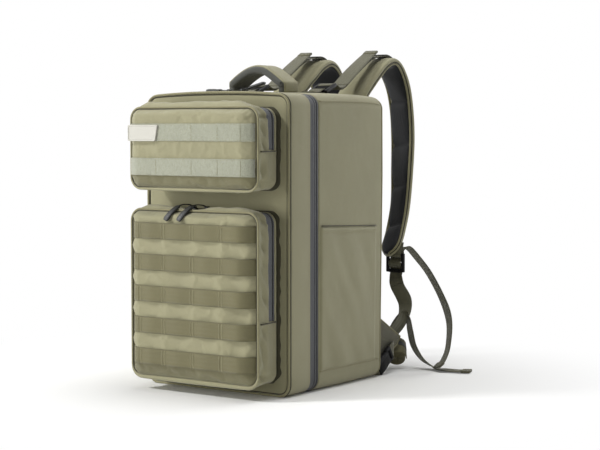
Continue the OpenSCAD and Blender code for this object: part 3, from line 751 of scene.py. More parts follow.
def case_halves():
    turns = np.radians(np.linspace(0, 90, 8))[1:]
    outer = turned_edge(Y_SHELL, 1) + swell(Y_SHELL + 6, Y_BACK - BACK_R, 1.2, 13)
    outer += [(Y_BACK - BACK_R + BACK_R * math.sin(t), BACK_R * (1 - math.cos(t))) for t in turns]
    inner = [(y, WALL) for y in np.linspace(Y_SHELL, Y_BACK - WALL, 7)]
    case_half("rear_case", "case", "rear_shell", outer, inner, 0.0, crown, flare)
    outer = turned_edge(Y_LID, -1) + swell(Y_LID - 6, Y_FRONT + 4, 0.8, 7)
    outer += [(Y_FRONT + y, inset) for y, inset in ((1.6, 0.5), (0.4, 1.6), (0.2, 3.0), (1.6, 4.4), (0, 7.0))]
    inner = [(y, WALL) for y in (Y_LID, Y_LID - 3, Y_FRONT + 30, Y_FRONT + 5)]
    case_half("lid_case", "lid", "lid_shell", outer, inner, 1.0, crown)


def ring_path(outline, y, inset):
    """One ring as a path, back to its start."""
    ring = rings(outline, [(y, inset)])[0]
    return np.vstack([ring, ring[:1]])


def ring_out(outline):
    """Outward directions for the points of a ring."""
    return xyz(outline[1][:, 0], 0.0, outline[1][:, 1])


def above(outline, z):
    """The stretch of an outline over a height, from the right side over the top to the left."""
    return cut_outline(outline, np.flatnonzero(outline[0][:, 1] > z + 0.5), z, 1)


def below(outline, z):
    """The stretch of an outline under a height, from the left side by the bottom to the right."""
    points = outline[0]
    order = np.roll(np.arange(len(points)), len(points) // 2)
    return cut_outline(outline, order[points[order, 1] < z - 0.5], z, -1)


def cut_outline(outline, chosen, z, first):
    """Part of a swelling outline, with new ends at a height on both sides."""
    points, normals, weight = [rows[chosen] for rows in outline]
    half = np.abs(outline[0][:, 0]).max()
    return (np.vstack([[[first * half, z]], points, [[-first * half, z]]]),
            np.vstack([[[first, 0.0]], normals, [[-first, 0.0]]]),
            np.concatenate([weight[:1], weight, weight[-1:]]))


# Zips

ZIP_PITCH, ZIP_RECESS, TAPE_T = 2.6, 1.0, 1.6
TOOTH_FACES = ((0, 1, 2, 3), (4, 7, 6, 5), (0, 4, 5, 1), (1, 5, 6, 2), (2, 6, 7, 3), (3, 7, 4, 0))


def teeth(outline, y, reach, inset, start):
    """Coil turns along an outline, each reaching from y."""
    points, normals = outline[:2]
    place = distance_along(points)
    shapes = []
    for s in np.arange(ZIP_PITCH * (0.5 + start), place[-1] - ZIP_PITCH * 0.3, ZIP_PITCH):
        at = np.array([np.interp(s, place, points[:, i]) for i in (0, 1)])
        out = unit(np.array([np.interp(s, place, normals[:, i]) for i in (0, 1)]))
        along = np.array([-out[1], out[0]])
        verts = []
        for depth, half, end in ((inset + 0.9, 0.62, 1.0), (inset, 0.4, 0.84)):
            for a, b in ((-1, 1 - end), (1, 1 - end), (1, end), (-1, end)):
                q = at - out * depth + along * half * ZIP_PITCH / 2 * a
                verts.append((q[0], y + reach * b, q[1]))
        shapes.append((np.array(verts), [list(face) for face in TOOTH_FACES], np.zeros((8, 2))))
    return join(*shapes)


def zip_half(outline, y_edge, y_mid, recess, start, deep, share=None):
    """Tape and coil of one half of a zip, from under the fabric edge to its middle."""
    d = 1 if y_mid > y_edge else -1
    profile = [(y_edge - 2 * d, recess + 1.4 + deep), (y_edge, recess + deep)]
    profile += [(y_mid - back * d, recess + sink) for back, sink in (
        (4.6, 0.15 * deep), (3.8, -0.5), (2.4, -0.5), (1.8, 0.2), (0.2, 0.5), (0.3, TAPE_T))]
    profile.append((y_edge - 2 * d, recess + TAPE_T + 1 + deep))
    if share:
        profile = [(y, inset, share(y)) for y, inset in profile]
    return strip(outline, profile, False), teeth(outline, y_mid - 2.2 * d, 2.5 * d, recess - 0.7, start)


def zipped_outline():
    """The case outline without its hinged side, from low on that side round to high on it."""
    points, normals = CASE_OUTLINE
    hinge = (points[:, 0] < -HALF_W + 0.5) & (points[:, 1] > HINGE_LOW[2]) & (points[:, 1] < HINGE_HIGH[2])
    order = np.roll(np.arange(len(points)), -np.flatnonzero(hinge)[-1] - 1)
    order = order[~hinge[order]]
    low, high = [[-HALF_W, HINGE_LOW[2]]], [[-HALF_W, HINGE_HIGH[2]]]
    away = [[-1.0, 0.0]]
    return np.vstack([low, points[order], high]), np.vstack([away, normals[order], away])


def main_zip():
    outline = zipped_outline()
    for name, body, y_edge, start, deep in (("rear", "case", Y_SHELL, 0.0, 3.2),
                                            ("lid", "lid", Y_LID, 0.5, 0.3)):
        d = 1 if Y_SPLIT > y_edge else -1
        tape, coil = zip_half(outline, y_edge, Y_SPLIT, ZIP_RECESS, start, deep)
        piece(name + "_zip_tape", moved(tape, crown), ZIP_TAPE, body, [name + "_zipper_tape"])
        piece(name + "_zip_coil", moved(coil, crown), ZIP_COIL, body, flat=True)
        row = crown(rings(outline, [(y_edge - 2.6 * d, -0.2)])[0])
        piece(name + "_zip_stitching", stitches(row, ring_out(outline)), THREAD, body)
    # Painted shadow: a black strip along the rear edge of the zip, where the case's turned edge shades the
    # tape.
    welt = [(Y_SHELL + y, inset) for y, inset in (
        (1.5, 1.2), (-2.0, 0.5), (-5.0, 0.9), (-5.0, 2.2), (1.5, 3.2))]
    piece("rear_zip_welt", moved(strip(outline, welt, False), crown), ZIP_COIL, "case")


# Sewn panels

CLOTH_FRAMES, CLOTH_PRESSURE, CLOTH_SLACK, CLOTH_REACH = 20, 1.6, 0.004, 9.0


def settled(front, held):
    """A panel of (u, v, out) points after a cloth simulation: held where sewn, with air behind."""
    n, m = front.shape[:2]
    start = np.stack([front[..., 0], -front[..., 2], front[..., 1]], axis=-1).reshape(-1, 3)
    mesh = bpy.data.meshes.new("loose_cloth")
    mesh.from_pydata([tuple(p * MM) for p in start], [], surface(start.reshape(n, m, 3))[1])
    obj = bpy.data.objects.new("loose_cloth", mesh)
    bpy.context.collection.objects.link(obj)
    obj.vertex_groups.new(name="held").add([int(i) for i in np.flatnonzero(held)], 1.0, "REPLACE")
    cloth = obj.modifiers.new("cloth", "CLOTH")
    values = cloth.settings
    values.quality, values.mass, values.vertex_group_mass = 6, 0.05, "held"
    values.tension_stiffness = values.compression_stiffness = 20
    values.shear_stiffness, values.bending_stiffness = 6, 1.0
    values.shrink_min, values.use_pressure, values.uniform_pressure_force = -CLOTH_SLACK, True, CLOTH_PRESSURE
    values.effector_weights.gravity = 0.0
    cloth.collision_settings.use_collision = False
    cloth.point_cache.frame_end = CLOTH_FRAMES
    for step in range(1, CLOTH_FRAMES + 1):
        bpy.context.scene.frame_set(step)
    result = obj.evaluated_get(bpy.context.evaluated_depsgraph_get()).to_mesh()
    end = np.array([v.co for v in result.vertices]) / MM
    bpy.data.objects.remove(obj, do_unlink=True)
    bpy.context.scene.frame_set(1)
    move = end - start
    reach = np.maximum(np.linalg.norm(move, axis=1, keepdims=True), 1e-9)
    end = start + move * np.minimum(1, CLOTH_REACH / reach)
    return np.stack([end[:, 0], end[:, 2], -end[:, 1]], axis=-1).reshape(n, m, 3)


def finer(grid):
    """Twice as many points both ways, on smooth curves through the old ones."""
    for _ in range(2):
        ends = np.concatenate([2 * grid[:1] - grid[1:2], grid, 2 * grid[-1:] - grid[-2:-1]])
        between = (9 * (grid[:-1] + grid[1:]) - ends[:-3] - ends[3:]) / 16
        both = np.empty((2 * len(grid) - 1,) + grid.shape[1:])
        both[0::2], both[1::2] = grid, between
        grid = both.swapaxes(0, 1)
    return grid


def cloth_panel(u0, u1, v0, v1, radius, cell, relief, tuck, thickness, settle=None):
    """A sewn panel with rounded corners as (u, v, out): relief says how far it stands out."""
    u, v = np.meshgrid(np.linspace(u0, u1, int((u1 - u0) / cell) + 1),
                       np.linspace(v0, v1, int((v1 - v0) / cell) + 1), indexing="ij")
    cu, cv = np.clip(u, u0 + radius, u1 - radius), np.clip(v, v0 + radius, v1 - radius)
    du, dv = u - cu, v - cv
    reach = np.maximum(np.hypot(du, dv), 1e-9)
    share = np.where(reach > radius, radius / reach, 1.0)
    u, v = cu + du * share, cv + dv * share
    qu = np.abs(u - (u0 + u1) / 2) - ((u1 - u0) / 2 - radius)
    qv = np.abs(v - (v0 + v1) / 2) - ((v1 - v0) / 2 - radius)
    edge = radius - np.hypot(np.maximum(qu, 0), np.maximum(qv, 0)) - np.minimum(np.maximum(qu, qv), 0)
    rise = np.clip(edge / 4.0, 0, 1)
    out = relief(u, v, edge) * rise - tuck * (1 - rise) ** 2
    front = np.stack([u, v, out], axis=-1)
    if settle:
        front = finer(settle(front, edge))
    rear = front - np.array([0, 0, thickness])
    n, m = front.shape[:2]
    verts, faces = surface(np.concatenate([front, rear[::-1]]), True, False)[:2]
    at = np.arange(2 * n * m).reshape(2 * n, m)
    for line in (at[:, 0], at[:, m - 1]):
        faces += [[line[i], line[i + 1], line[2 * n - 2 - i], line[2 * n - 1 - i]] for i in range(n - 1)]
    return verts, faces, verts[:, :2]


def facing_front(shape, y):
    """A panel's u, v and out become X, Z and -Y."""
    return moved(shape, lambda p: xyz(p[:, 0], y - p[:, 2], p[:, 1]))


def facing_right(shape, x):
    """A panel's u, v and out become Y, Z and X."""
    return moved(shape, lambda p: xyz(x + p[:, 2], p[:, 0], p[:, 1]))


def facing_back(shape, y):
    """A panel's u, v and out become X, Z and Y."""
    return moved(shape, lambda p: xyz(p[:, 0], y + p[:, 2], p[:, 1]))


def ripples(u, v, size, seed):
    """Smooth noise over a panel, about -1 to 1."""
    places = zip(u.ravel() / size + seed, v.ravel() / size)
    return np.array([noise.noise(Vector((a, b, seed * 0.7))) for a, b in places]).reshape(u.shape)


# Front pockets

POCKET_R, POCKET_BOW, SIDE_PUFF, REAR_TUCK = 18.0, 12.5, 3.0, 15.0
SIDE_ROLL, TOP_ROLL = 26.0, 12.0
PANEL_CELL = 4.0
SEWN_W, TACK_REACH = 1.5, PANEL_CELL * 0.6
FOLD_SIZE, FOLD_RUN_IN, FOLD_SINK = 13.0, 9.0, 0.45
TACK_W, TACK_GAP, TACK_PITCH = 2.6, 5.4, 1.05
ROW_PITCH, ROW_W, ROW_HALF = 50.0, 26.0, 122.0
ROW_LIFT, ROW_DIVE, DIVE_FROM, DIVE_RUN = 1.9, 6.5, 97.0, 24.0
ROW_TACKS = (-ROW_HALF, -97.4, -48.8, 8.8, 64.9, ROW_HALF)
STRIP_TACKS = (-62.0, 9.0, 60.0, 104.0)
ROWS = [(low, low + ROW_W) for low in cad("webbing_rows_base")[0][2] + ROW_PITCH * np.arange(5)]
STRIPS = [tuple(corner[2] for corner in cad("loop_strip_" + part)) for part in ("base", "flap")]
PUFF_STEPS = (Y_POCKET, Y_POCKET + 3, Y_POCKET + 7, Y_POCKET + 13, Y_TAPE - 5, Y_TAPE, Y_ZIP_MID, Y_FRONT)
PUFF_SHARE = (0.0, 0.5, 0.85, 1.0, 0.85, 0.6, 0.0, 0.0)


def puff(y):
    """How far the slack gusset of a pocket swells at a depth, as a share."""
    return float(np.interp(y, PUFF_STEPS, PUFF_SHARE))


def puffed(stations):
    return [(y, inset, puff(y)) for y, inset in stations]


def row_lift(x, tacks):
    """How far a row bows out between its tacks, and dives in at its ends."""
    at = np.interp(x, tacks, np.arange(len(tacks)))
    last = np.clip((np.abs(x) - DIVE_FROM) / DIVE_RUN, 0, 1)
    return ROW_LIFT * np.sin(math.pi * (at % 1)) ** 2 * (1 - last) - ROW_DIVE * last ** 2


class Pocket:
    """One zipped front pocket: its heights, its fold, its sewn rows and how its cloth swells."""

    def __init__(self, name, bend, rows, tacks, top_puff, low_puff, roll, lip, dent):
        self.name, self.bend, self.rows, self.tacks, self.roll, self.lip = name, bend, rows, tacks, roll, lip
        self.flap = name + "_flap"
        self.z0 = z0 = cad(name + "_pocket_body")[0][2]
        self.fold, self.z1 = [corner[2] for corner in cad(name + "_pocket_flap")]
        points, normals = rounded_rect(-POCKET_HALF, POCKET_HALF, z0, self.z1, POCKET_R, arc_step=3.0)
        x, z = points.T
        near_top = np.clip((POCKET_HALF - np.abs(x)) / np.where(x < 0, 26, 42), 0, 1)
        near_side = np.clip(np.minimum(z - z0, self.z1 - z) / 36, 0, 1)
        top = top_puff * (1 - dent * np.exp(-((x + 14) / 40) ** 2))
        flat = np.where(normals[:, 1] > 0, top, low_puff) * near_top * normals[:, 1] ** 2
        flat = flat + SIDE_PUFF * near_side * (np.abs(normals[:, 0]) > 0.99)
        fine, broad = [np.array([noise.noise(Vector((a / size, b / size, z0))) for a, b in points])
                       for size in (17, 50)]
        self.outline = (points, normals, flat * (1 + 0.3 * broad) + 2.2 * fine - 2.5 * (flat < 0.1))

    def swelling(self, x, z):
        """How far the panel stands out where it is sewn down: it rolls off most at the bottom."""
        falls = zip((POCKET_HALF - np.abs(x), z - self.z0, self.z1 - z), (SIDE_ROLL, self.roll, TOP_ROLL))
        shares = [1 - (1 - np.clip(edge / length, 0, 1)) ** 2 for edge, length in falls]
        return POCKET_BOW * shares[0] * shares[1] * shares[2]

    def relief(self, x, z, edge):
        return self.swelling(x, z) + (0.5 * ripples(x, z, 24.0, self.z0) + 0.3) * np.clip(edge / 8.0, 0, 1)

    def lift(self, x):
        return row_lift(x, self.tacks) if self.tacks else 0.0

    def settle(self, front, edge):
        """The panel's cloth settles between its seams and under its rows."""
        flat_x, z = front[..., 0], front[..., 1]
        held = edge < SEWN_W
        for low, high in self.rows:
            for tack in self.tacks[1:-1]:
                held |= (np.abs(flat_x - tack) < TACK_REACH) & (z > low) & (z < high)
            if not self.tacks:
                held |= (np.abs(z - low - 2) < TACK_REACH) | (np.abs(z - high + 2) < TACK_REACH)
        x, z, out = np.moveaxis(settled(front, held), -1, 0)
        x = np.where(flat_x < -60, np.maximum(x, flat_x), x)
        for low, high in self.rows:
            over = np.maximum(np.maximum(low - z, z - high), 0)
            out = np.minimum(out, self.swelling(x, z) + self.lift(x) + 0.2 + 0.5 * over)
        drawn = np.clip((x + POCKET_HALF) / 60.0, 0, 1)
        out = np.minimum(out, self.swelling(x, z) + 0.4 + 9.0 * drawn ** 3)
        return np.stack([x, z, out], axis=-1)

    def folded(self, shape, y_low, y_high, depth):
        """The shape of a slack gusset with slanting folds in its sides, none at its seams."""
        def fold(v):
            hold = np.clip(np.minimum(v[:, 1] - y_low, y_high - v[:, 1]) / FOLD_RUN_IN, 0, 1)
            hold = hold * np.clip((np.abs(v[:, 0]) - POCKET_HALF + 14) / 8, 0, 1)
            hold = hold * np.clip(np.abs(v[:, 2] - self.fold + 1.5) / FOLD_RUN_IN, 0.1, 1)
            folds = ripples(v[:, 1] + 0.7 * v[:, 2], v[:, 2] * 0.5, FOLD_SIZE, self.lip)
            v[:, 0] += np.sign(v[:, 0]) * depth * hold * (folds - FOLD_SINK)
            return v
        return moved(shape, fold)

    def piece(self, label, *facts, **more):
        return piece(self.name + "_" + label, *facts, **more)

    def bent(self, label, shape, material, replaces=(), **more):
        """A piece just over the flap's fold, left free of any body."""
        obj = self.piece(label, shape, material, None, replaces, **more)
        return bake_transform(obj)


UPPER = Pocket("upper", (373.0, 396.0), STRIPS, (), 10.5, 3.5, 27.0, 3.0, 0.0)
LOWER = Pocket("lower", (120.5, 142.5), ROWS, ROW_TACKS, 8.5, 4.5, 30.0, 4.4, 0.75)


def pocket_gussets(p):
    """The fixed walls of a pocket, behind its zip and below its fold, and a dark band of painted shade round
    its root.
    """
    nodes = [p.name + "_pocket_body"]
    tucked = [(Y_ZIP_REAR + 3 + (Y_FRONT - Y_ZIP_REAR - 2) * t, REAR_TUCK * t ** 1.6)
              for t in np.linspace(1, 0, 7)]
    rear = tucked + turned_edge(Y_ZIP_REAR, 1)[::-1]
    rear += [(Y_ZIP_REAR + 0.8, 2.6)] + [(y - 1, inset + 2.6) for y, inset in tucked[::-1]]
    root = [(Y_FRONT + y, inset) for y, inset in (
        (0.6, -2.5), (-1.0, -2.0), (-1.8, 4.0), (-3.6, REAR_TUCK - 4), (-3.0, REAR_TUCK), (0.6, REAR_TUCK))]
    rear, root = [p.folded(strip(p.outline, profile), Y_ZIP_REAR + 4, Y_FRONT + 20, 4.0)
                  for profile in (rear, root)]
    p.piece("gusset_rear", rear, OLIVE_CLOTH, "lid", nodes)
    # A dark band on the lid round the pocket's root: painted shade in the crevice beside the pocket.
    p.piece("root_binding", root, OLIVE_SEAM_SHADE, "lid")
    across = np.linspace(Y_ZIP_REAR + 3, Y_TAPE - 2, 9)
    filler = [(y, 0.2) for y in across] + [(y, 2.6) for y in across[::-1]]
    low = below(p.outline, p.fold + 1.0)
    p.piece("gusset_low", strip(low, puffed(filler), False), OLIVE_CLOTH, "lid", nodes)


def pocket_front(p):
    """The front wall and panel of a pocket, its piping and the cloth that rolls under it."""
    across = np.linspace(Y_TAPE - 4, Y_POCKET + 2, 9)
    front = turned_edge(Y_TAPE, -1) + [(y, 0.0) for y in across]
    front += [(Y_POCKET + y, inset) for y, inset in ((1.0, 0.6), (1.4, 3.0), (3.4, 4.4))]
    front += [(y, 2.6) for y in across[::-1]]
    gusset = p.folded(strip(p.outline, puffed(front)), Y_POCKET + 3, Y_TAPE - 3, 7.0)
    face = cloth_panel(-POCKET_HALF + 0.8, POCKET_HALF - 0.8, p.z0 + 0.8, p.z1 - 0.8, POCKET_R - 0.6,
                       PANEL_CELL, p.relief, 2.0, 1.6, p.settle)
    skin = join(gusset, facing_front(face, Y_POCKET))
    obj = p.bent("front", skin, OLIVE_CLOTH, [p.name + "_pocket_flap"])
    # Below the middle of the lowest row or strip the panel is painted darker: painted shade where the cloth
    # rolls under, and on the lower pocket a darker base band.
    edge = (min(row[0] for row in p.rows) + ROW_W / 2) * MM
    faces = obj.data.polygons
    paint(obj, OLIVE_BASE_AND_SHADE, lambda i: i >= len(gusset[1]) and faces[i].center.z < edge)

    cord = ring_tube(p.outline, Y_POCKET + 1.0, -1.4, 1.8)
    p.bent("piping", cord, OLIVE_TRIM, [p.name + "_piping_flap"])
    lip = rings(below(p.outline, p.z0 + POCKET_R), [(Y_POCKET + 1.0, -p.lip * 0.3)])[0]
    thick = p.lip * np.sin(np.linspace(0.12, math.pi - 0.12, len(lip))) ** 0.5
    p.piece("lip", sweep(lip, CORD_SIDE, circle(1.0, 10), thick, thick), OLIVE_CLOTH, "lid")
    # A dark cord in the crease between the panel and the piping: painted shade.
    p.bent("piping_seam", ring_tube(p.outline, Y_POCKET + 0.3, 0.7, 1.0), OLIVE_SEAM_SHADE)


def pocket_zip(p):
    """Both halves of a pocket's zip, and the seams where it ends."""
    high = above(p.outline, p.fold)

    def half(side, y_edge, start, deep, row, node_name, make):
        tape, coil = zip_half(high, y_edge, Y_ZIP_MID, 0.6, start, deep, puff)
        path = rings(high, puffed([(y_edge + row, -0.1)]))[0]
        make("zip_%s_tape" % side, tape, ZIP_TAPE, replaces=[node_name])
        make("zip_%s_coil" % side, coil, ZIP_COIL, flat=True)
        make("zip_stitching_" + side, stitches(path, ring_out(high)), THREAD)

    half("rear", Y_ZIP_REAR, 0.0, 1.6, 2.6, "pocket_zip_rear",
         lambda label, shape, material, **more: p.piece(label, shape, material, "lid", **more))
    half("front", Y_TAPE, 0.5, 0.4, -2.8, p.name + "_zip_front", p.bent)
    swollen = p.outline[2][np.argmin(np.abs(p.outline[0][:, 1] - p.fold))]
    y = np.linspace(Y_ZIP_REAR + 3, Y_POCKET + 5, 14)
    path = xyz(POCKET_HALF + 0.5 + swollen * np.array([puff(v) for v in y]), y, p.fold - 1.5)
    for side in SIDES:
        seam = sweep(path * np.array([side[1], 1, 1]), (0, 0, 1), band(2.0, 1.2))
        p.piece("gusset_seam_" + side[0], seam, OLIVE_SEAM_SHADE, "lid")


def bar_tack(x, y, z0, z1):
    """Two dense upright rows of short stitches."""
    shapes = []
    for centre in (x - TACK_GAP / 2, x + TACK_GAP / 2):
        for z in np.arange(z0, z1, TACK_PITCH):
            path = np.array([[centre - TACK_W / 2, y, z], [centre + TACK_W / 2, y, z + 0.3]])
            shapes.append(stitches(path, (0, -1, 0), TACK_W, TACK_W, 0.75))
    return join(*shapes)


def carrier_row(z, section, p):
    """A webbing row or strip that follows the panel and bows out between its tacks."""
    x = np.linspace(-ROW_HALF, ROW_HALF, 121)
    tuck = 1.6 * np.clip(1 - (ROW_HALF - np.abs(x)) / 3, 0, 1) ** 2
    path = xyz(x, Y_POCKET - p.swelling(x, z) - 1.3 - p.lift(x) + tuck, z)
    return sweep(path, (0, 0, 1), section), path


def webbing_rows():
    for i, (low, high) in enumerate(ROWS):
        body, group = ("lid", "base") if i < 2 else ("lower_flap", "flap")
        shape, path = carrier_row(low + ROW_W / 2, band(ROW_W, 2.0), LOWER)
        piece("webbing_row_%d" % (i + 1), shape, OLIVE_WEB, body, ["webbing_rows_" + group])
        tacks = [bar_tack(x, np.interp(x, path[:, 0], path[:, 1]) - 1.0, low + 1.5, high - 1.5)
                 for x in ROW_TACKS[1:-1]]
        piece("row_tacks_%d" % (i + 1), join(*tacks), OLIVE_TRIM, body)


def loop_strips():
    for part, body, (low, high) in zip(("base", "flap"), ("lid", "upper_flap"), STRIPS):
        z, tall, name = (low + high) / 2, high - low, "loop_strip_" + part
        shape, path = carrier_row(z, band(tall, 2.4, 14), UPPER)
        rumple(piece(name + "_pile", shape, LOOP_PILE, body, [name]), 0.35, 3.0, z)
        rows = [stitches(path + np.array([0, -1.05, edge * (tall / 2 - 1.6)]), (0, -1, 0), 3.6, 2.6, 0.5)
                for edge in (-1, 1)]
        piece(name + "_stitching", join(*rows), THREAD, body)
        tacks = [stitches(xyz(x, np.interp(x, path[:, 0], path[:, 1]) - 1.15, np.array([low + 1, high - 1])),
                          (0, -1, 0), 2.2, 2.0, 0.9) for x in STRIP_TACKS]
        piece(name + "_tacks", join(*tacks), OLIVE_TRIM, body)


LABEL_REACH, LABEL_SHIFT, LABEL_SLANT, LABEL_T = 6.0, 10.0, 5.0, 4.0


def label():
    """A blank raised label with a slanted end, fixed over the upper strip."""
    low, high = cad("label_patch")
    x0, x1 = low[0] + LABEL_SHIFT, high[0] + LABEL_SHIFT + LABEL_REACH
    bottom, top = low[2] - 0.5, high[2] - 2.0
    y = Y_POCKET - UPPER.swelling(x1 - 2, (low[2] + high[2]) / 2) - 1.6
    levels = []
    for inset, sunk in ((0.0, LABEL_T), (0.0, 0.5), (0.5, 0.0), (2.0, 0.0), (2.5, 0.7), (6.0, 0.7)):
        corners = np.array([(x0 + inset, bottom + inset), (x1 - LABEL_SLANT - inset, bottom + inset),
                            (x1 - inset, top - inset), (x0 + inset, top - inset)])
        loop = np.array([a + (b - a) * t for a, b in zip(corners, np.roll(corners, -1, axis=0))
                         for t in (0.04, 0.2, 0.5, 0.8, 0.96)])
        levels.append(xyz(loop[:, 0], y - LABEL_T + sunk, loop[:, 1]))
    piece("label", closed_rings(levels), LABEL, "upper_flap", ["label_patch"], flat=True)


# Trim of the case

def lid_piping():
    cord = moved(ring_tube(CASE_OUTLINE, Y_FRONT + 0.3, 1.3, 2.2), crown)
    piece("lid_piping_cord", cord, OLIVE_TRIM, "lid", ["lid_piping"])
    # Dark cords in the creases on both sides of the piping cord: painted shade.
    creases = [moved(ring_tube(CASE_OUTLINE, Y_FRONT + y, inset, 1.0), crown)
               for y, inset in ((0.8, 4.4), (3.6, -0.1))]
    piece("lid_piping_seam", join(*creases), OLIVE_SEAM_SHADE, "lid")
    out = ring_out(CASE_OUTLINE)
    rows = stitches(crown(ring_path(CASE_OUTLINE, Y_FRONT + 7, -0.3)), np.vstack([out, out[:1]]))
    piece("lid_piping_stitching", rows, THREAD, "lid")


def hinge():
    """The fabric hinge on the left, which bends as the lid opens."""
    shape = cloth_panel(HINGE_LOW[1] - 3, HINGE_HIGH[1] + 3, HINGE_LOW[2] - 4, HINGE_HIGH[2] + 4, 3.0, 2.6,
                        lambda u, v, edge: 0.6 + 0.5 * ripples(u, v, 20.0, 3.1), 0.6, 1.4)
    shape = mirrored(facing_right(shape, HALF_W - 0.2))
    obj = piece("hinge_cloth", shape, OLIVE_CLOTH, None, ["hinge_gusset"])
    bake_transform(obj)


HEM_FRONT, HEM_BACK, HEM_W = 262.8, 255.7, 9.0


def side_pockets():
    """Flat slip pockets: slack cloth, sewn at three sides, with a turned hem on top."""
    low, high = cad("side_pockets")
    deep, tall = (high - low)[1:]

    def hem_height(y):
        return HEM_FRONT + (HEM_BACK - HEM_FRONT) * (y - low[1]) / deep

    def sheared(v):
        v[:, 2] += (v[:, 2] - low[2]) / tall * (hem_height(v[:, 1]) - high[2])
        return v

    def slack(u, v, edge):
        drop = np.clip((high[2] - v) / tall, 0, 1)
        fold = ripples(u * 0.85 + v * 0.53, (u * 0.53 - v * 0.85) * 0.22, 27.0, 5.0)
        hem = 0.9 * np.clip((v - high[2] + HEM_W) / 1.2, 0, 1)
        loose = inside(u - (low[1] + high[1]) / 2, deep / 2)
        sag = 1.5 * np.sin(math.pi * drop) ** 0.7 + 2.6 * fold * np.clip(drop * 5, 0.15, 1)
        return 1.8 + loose * sag + hem

    cloth = cloth_panel(low[1] + 1, high[1], low[2], high[2], 1.5, 3.4, slack, 1.0, 1.2)
    cloth = facing_right(cloth, HALF_W + 0.4)
    y = np.linspace(low[1] + 4, high[1] - 3, 30)
    row = flare(xyz(HALF_W + 3.6, y, hem_height(y) - HEM_W))
    # A dark cord along the top of the hem: painted shadow in the pocket's mouth.
    mouth_shadow = flare(xyz(HALF_W + 1.6, y, hem_height(y) + 0.5))
    for side in SIDES:
        sided(side, "side_pocket", moved(cloth, sheared, flare), OLIVE_CLOTH, "case", ["side_pockets"])
        sided(side, "side_pocket_hem", stitches(row, (1, 0, 0)), THREAD, "case")
        sided(side, "side_pocket_mouth", tube(mouth_shadow, 0.8), OLIVE_SEAM_SHADE, "case")


TOP_SEAM, BASE_SEAM_Z, SEAM_GAP = math.radians(25.4), 31.0, 3.2


def panel_seams():
    """Welts where the top, base and back panels meet the sides, with a row of stitches each."""
    y = np.linspace(Y_SHELL + 3, Y_BACK - BACK_R, 26)
    bow = 1.2 * 4 * (y - y[0]) * (y[-1] - y) / (y[-1] - y[0]) ** 2
    slant = np.array([math.cos(TOP_SEAM), 0, math.sin(TOP_SEAM)])
    over = np.array([HALF_W - CORNER_R, 0, CASE_H - CORNER_R]) + CORNER_R * slant
    low, flat = np.array([HALF_W, 0, BASE_SEAM_Z]), np.array([1.0, 0, 0])
    for side in SIDES:
        for seam, start, out, gap in (("top_seam", over, slant, -SEAM_GAP),
                                      ("base_seam", low, flat, SEAM_GAP)):
            path = flare(crown(start + bow[:, None] * out + xyz(0, y, 0)))
            sided(side, seam, sweep(path, np.cross((0, 1, 0), out), band(2.6, 1.5)), OLIVE_TRIM, "case")
            rise = np.array([-out[2], 0, out[0]]) * gap
            sided(side, seam + "_stitching", stitches(path + rise + out * 0.2, out), THREAD, "case")
    welt = moved(ring_tube(CASE_OUTLINE, Y_BACK - 2.0, 1.6, 2.2), crown, flare)
    piece("back_edge_piping", welt, OLIVE_TRIM, "case")


# Webbing of the straps

WEB_W, WEB_T = 25.0, 1.6
END_W, END_T = WEB_W + 0.8, 4.2


def web(path, side, width=WEB_W, thickness=WEB_T):
    return sweep(path, side, band(width, thickness, 6))


def web_route(rows):
    """Path and width directions of a webbing from rows of place and direction."""
    table = smooth_path(rows, 8)
    return table[:, :3], table[:, 3:]


def folded_end(path, side, length):
    """The doubled hem at the last stretch of a webbing, with a cross row of stitches."""
    place = distance_along(path)
    keep = place > place[-1] - length
    across, out = path_frames(path, side)[1:]
    i = int(np.argmin(np.abs(place - place[-1] + length - 2.5)))
    reach = across[i] * END_W * 0.44
    rows = []
    for face in (1, -1):
        middle = path[i] + out[i] * face * (END_T / 2 + 0.1)
        rows.append(stitches(np.array([middle - reach, middle + reach]), out[i] * face, 2.6, 2.0, 0.45))
    return web(path[keep], side[keep], END_W, END_T), join(*rows)


# Handle on the top

HANDLE_ARCH = ((-56, -44), (-56, -29), (-52, -24), (-38, -14), (-19, -4), (0, 0), (19, -3), (38, -14),
               (53, -25), (57, -30), (57, -44))


def handle():
    low, high = cad("handle_cover")
    y, wide = (low[1] + high[1]) / 2, high[1] - low[1]
    outer = smooth_path([(a - 1.0, y, high[2] + b) for a, b in HANDLE_ARCH], 5)
    along, across = path_frames(outer, (0, 1, 0))[:2]
    away = np.cross(across, along)
    away *= np.sign(away[len(outer) // 2, 2])
    squeeze = np.interp(np.linspace(0, 1, len(outer)), (0, 0.2, 0.8, 1), (0.86, 1, 1, 0.86))
    core = sweep(outer - away * 7.0, (0, 1, 0), pillow(wide, 13.0, 28, 0.3, 0.6), squeeze)
    piece("handle_pad", core, HANDLE_GREY, "case", ["handle_lining"])
    top = sweep(outer - away * 1.2, (0, 1, 0), pillow(wide - 5, 4.0, 24, 0.25, 0.9), squeeze)
    piece("handle_top", top, OLIVE_CLOTH, "case", ["handle_cover"])
    sewn = (outer + away * 0.75)[4:-4]
    rows = [stitches(sewn + np.array([0, s * (wide / 2 - 8), 0]), away[4:-4]) for s in (-1, 1)]
    piece("handle_stitching", join(*rows), THREAD, "case")


# Shoulder straps, drawn for the right side

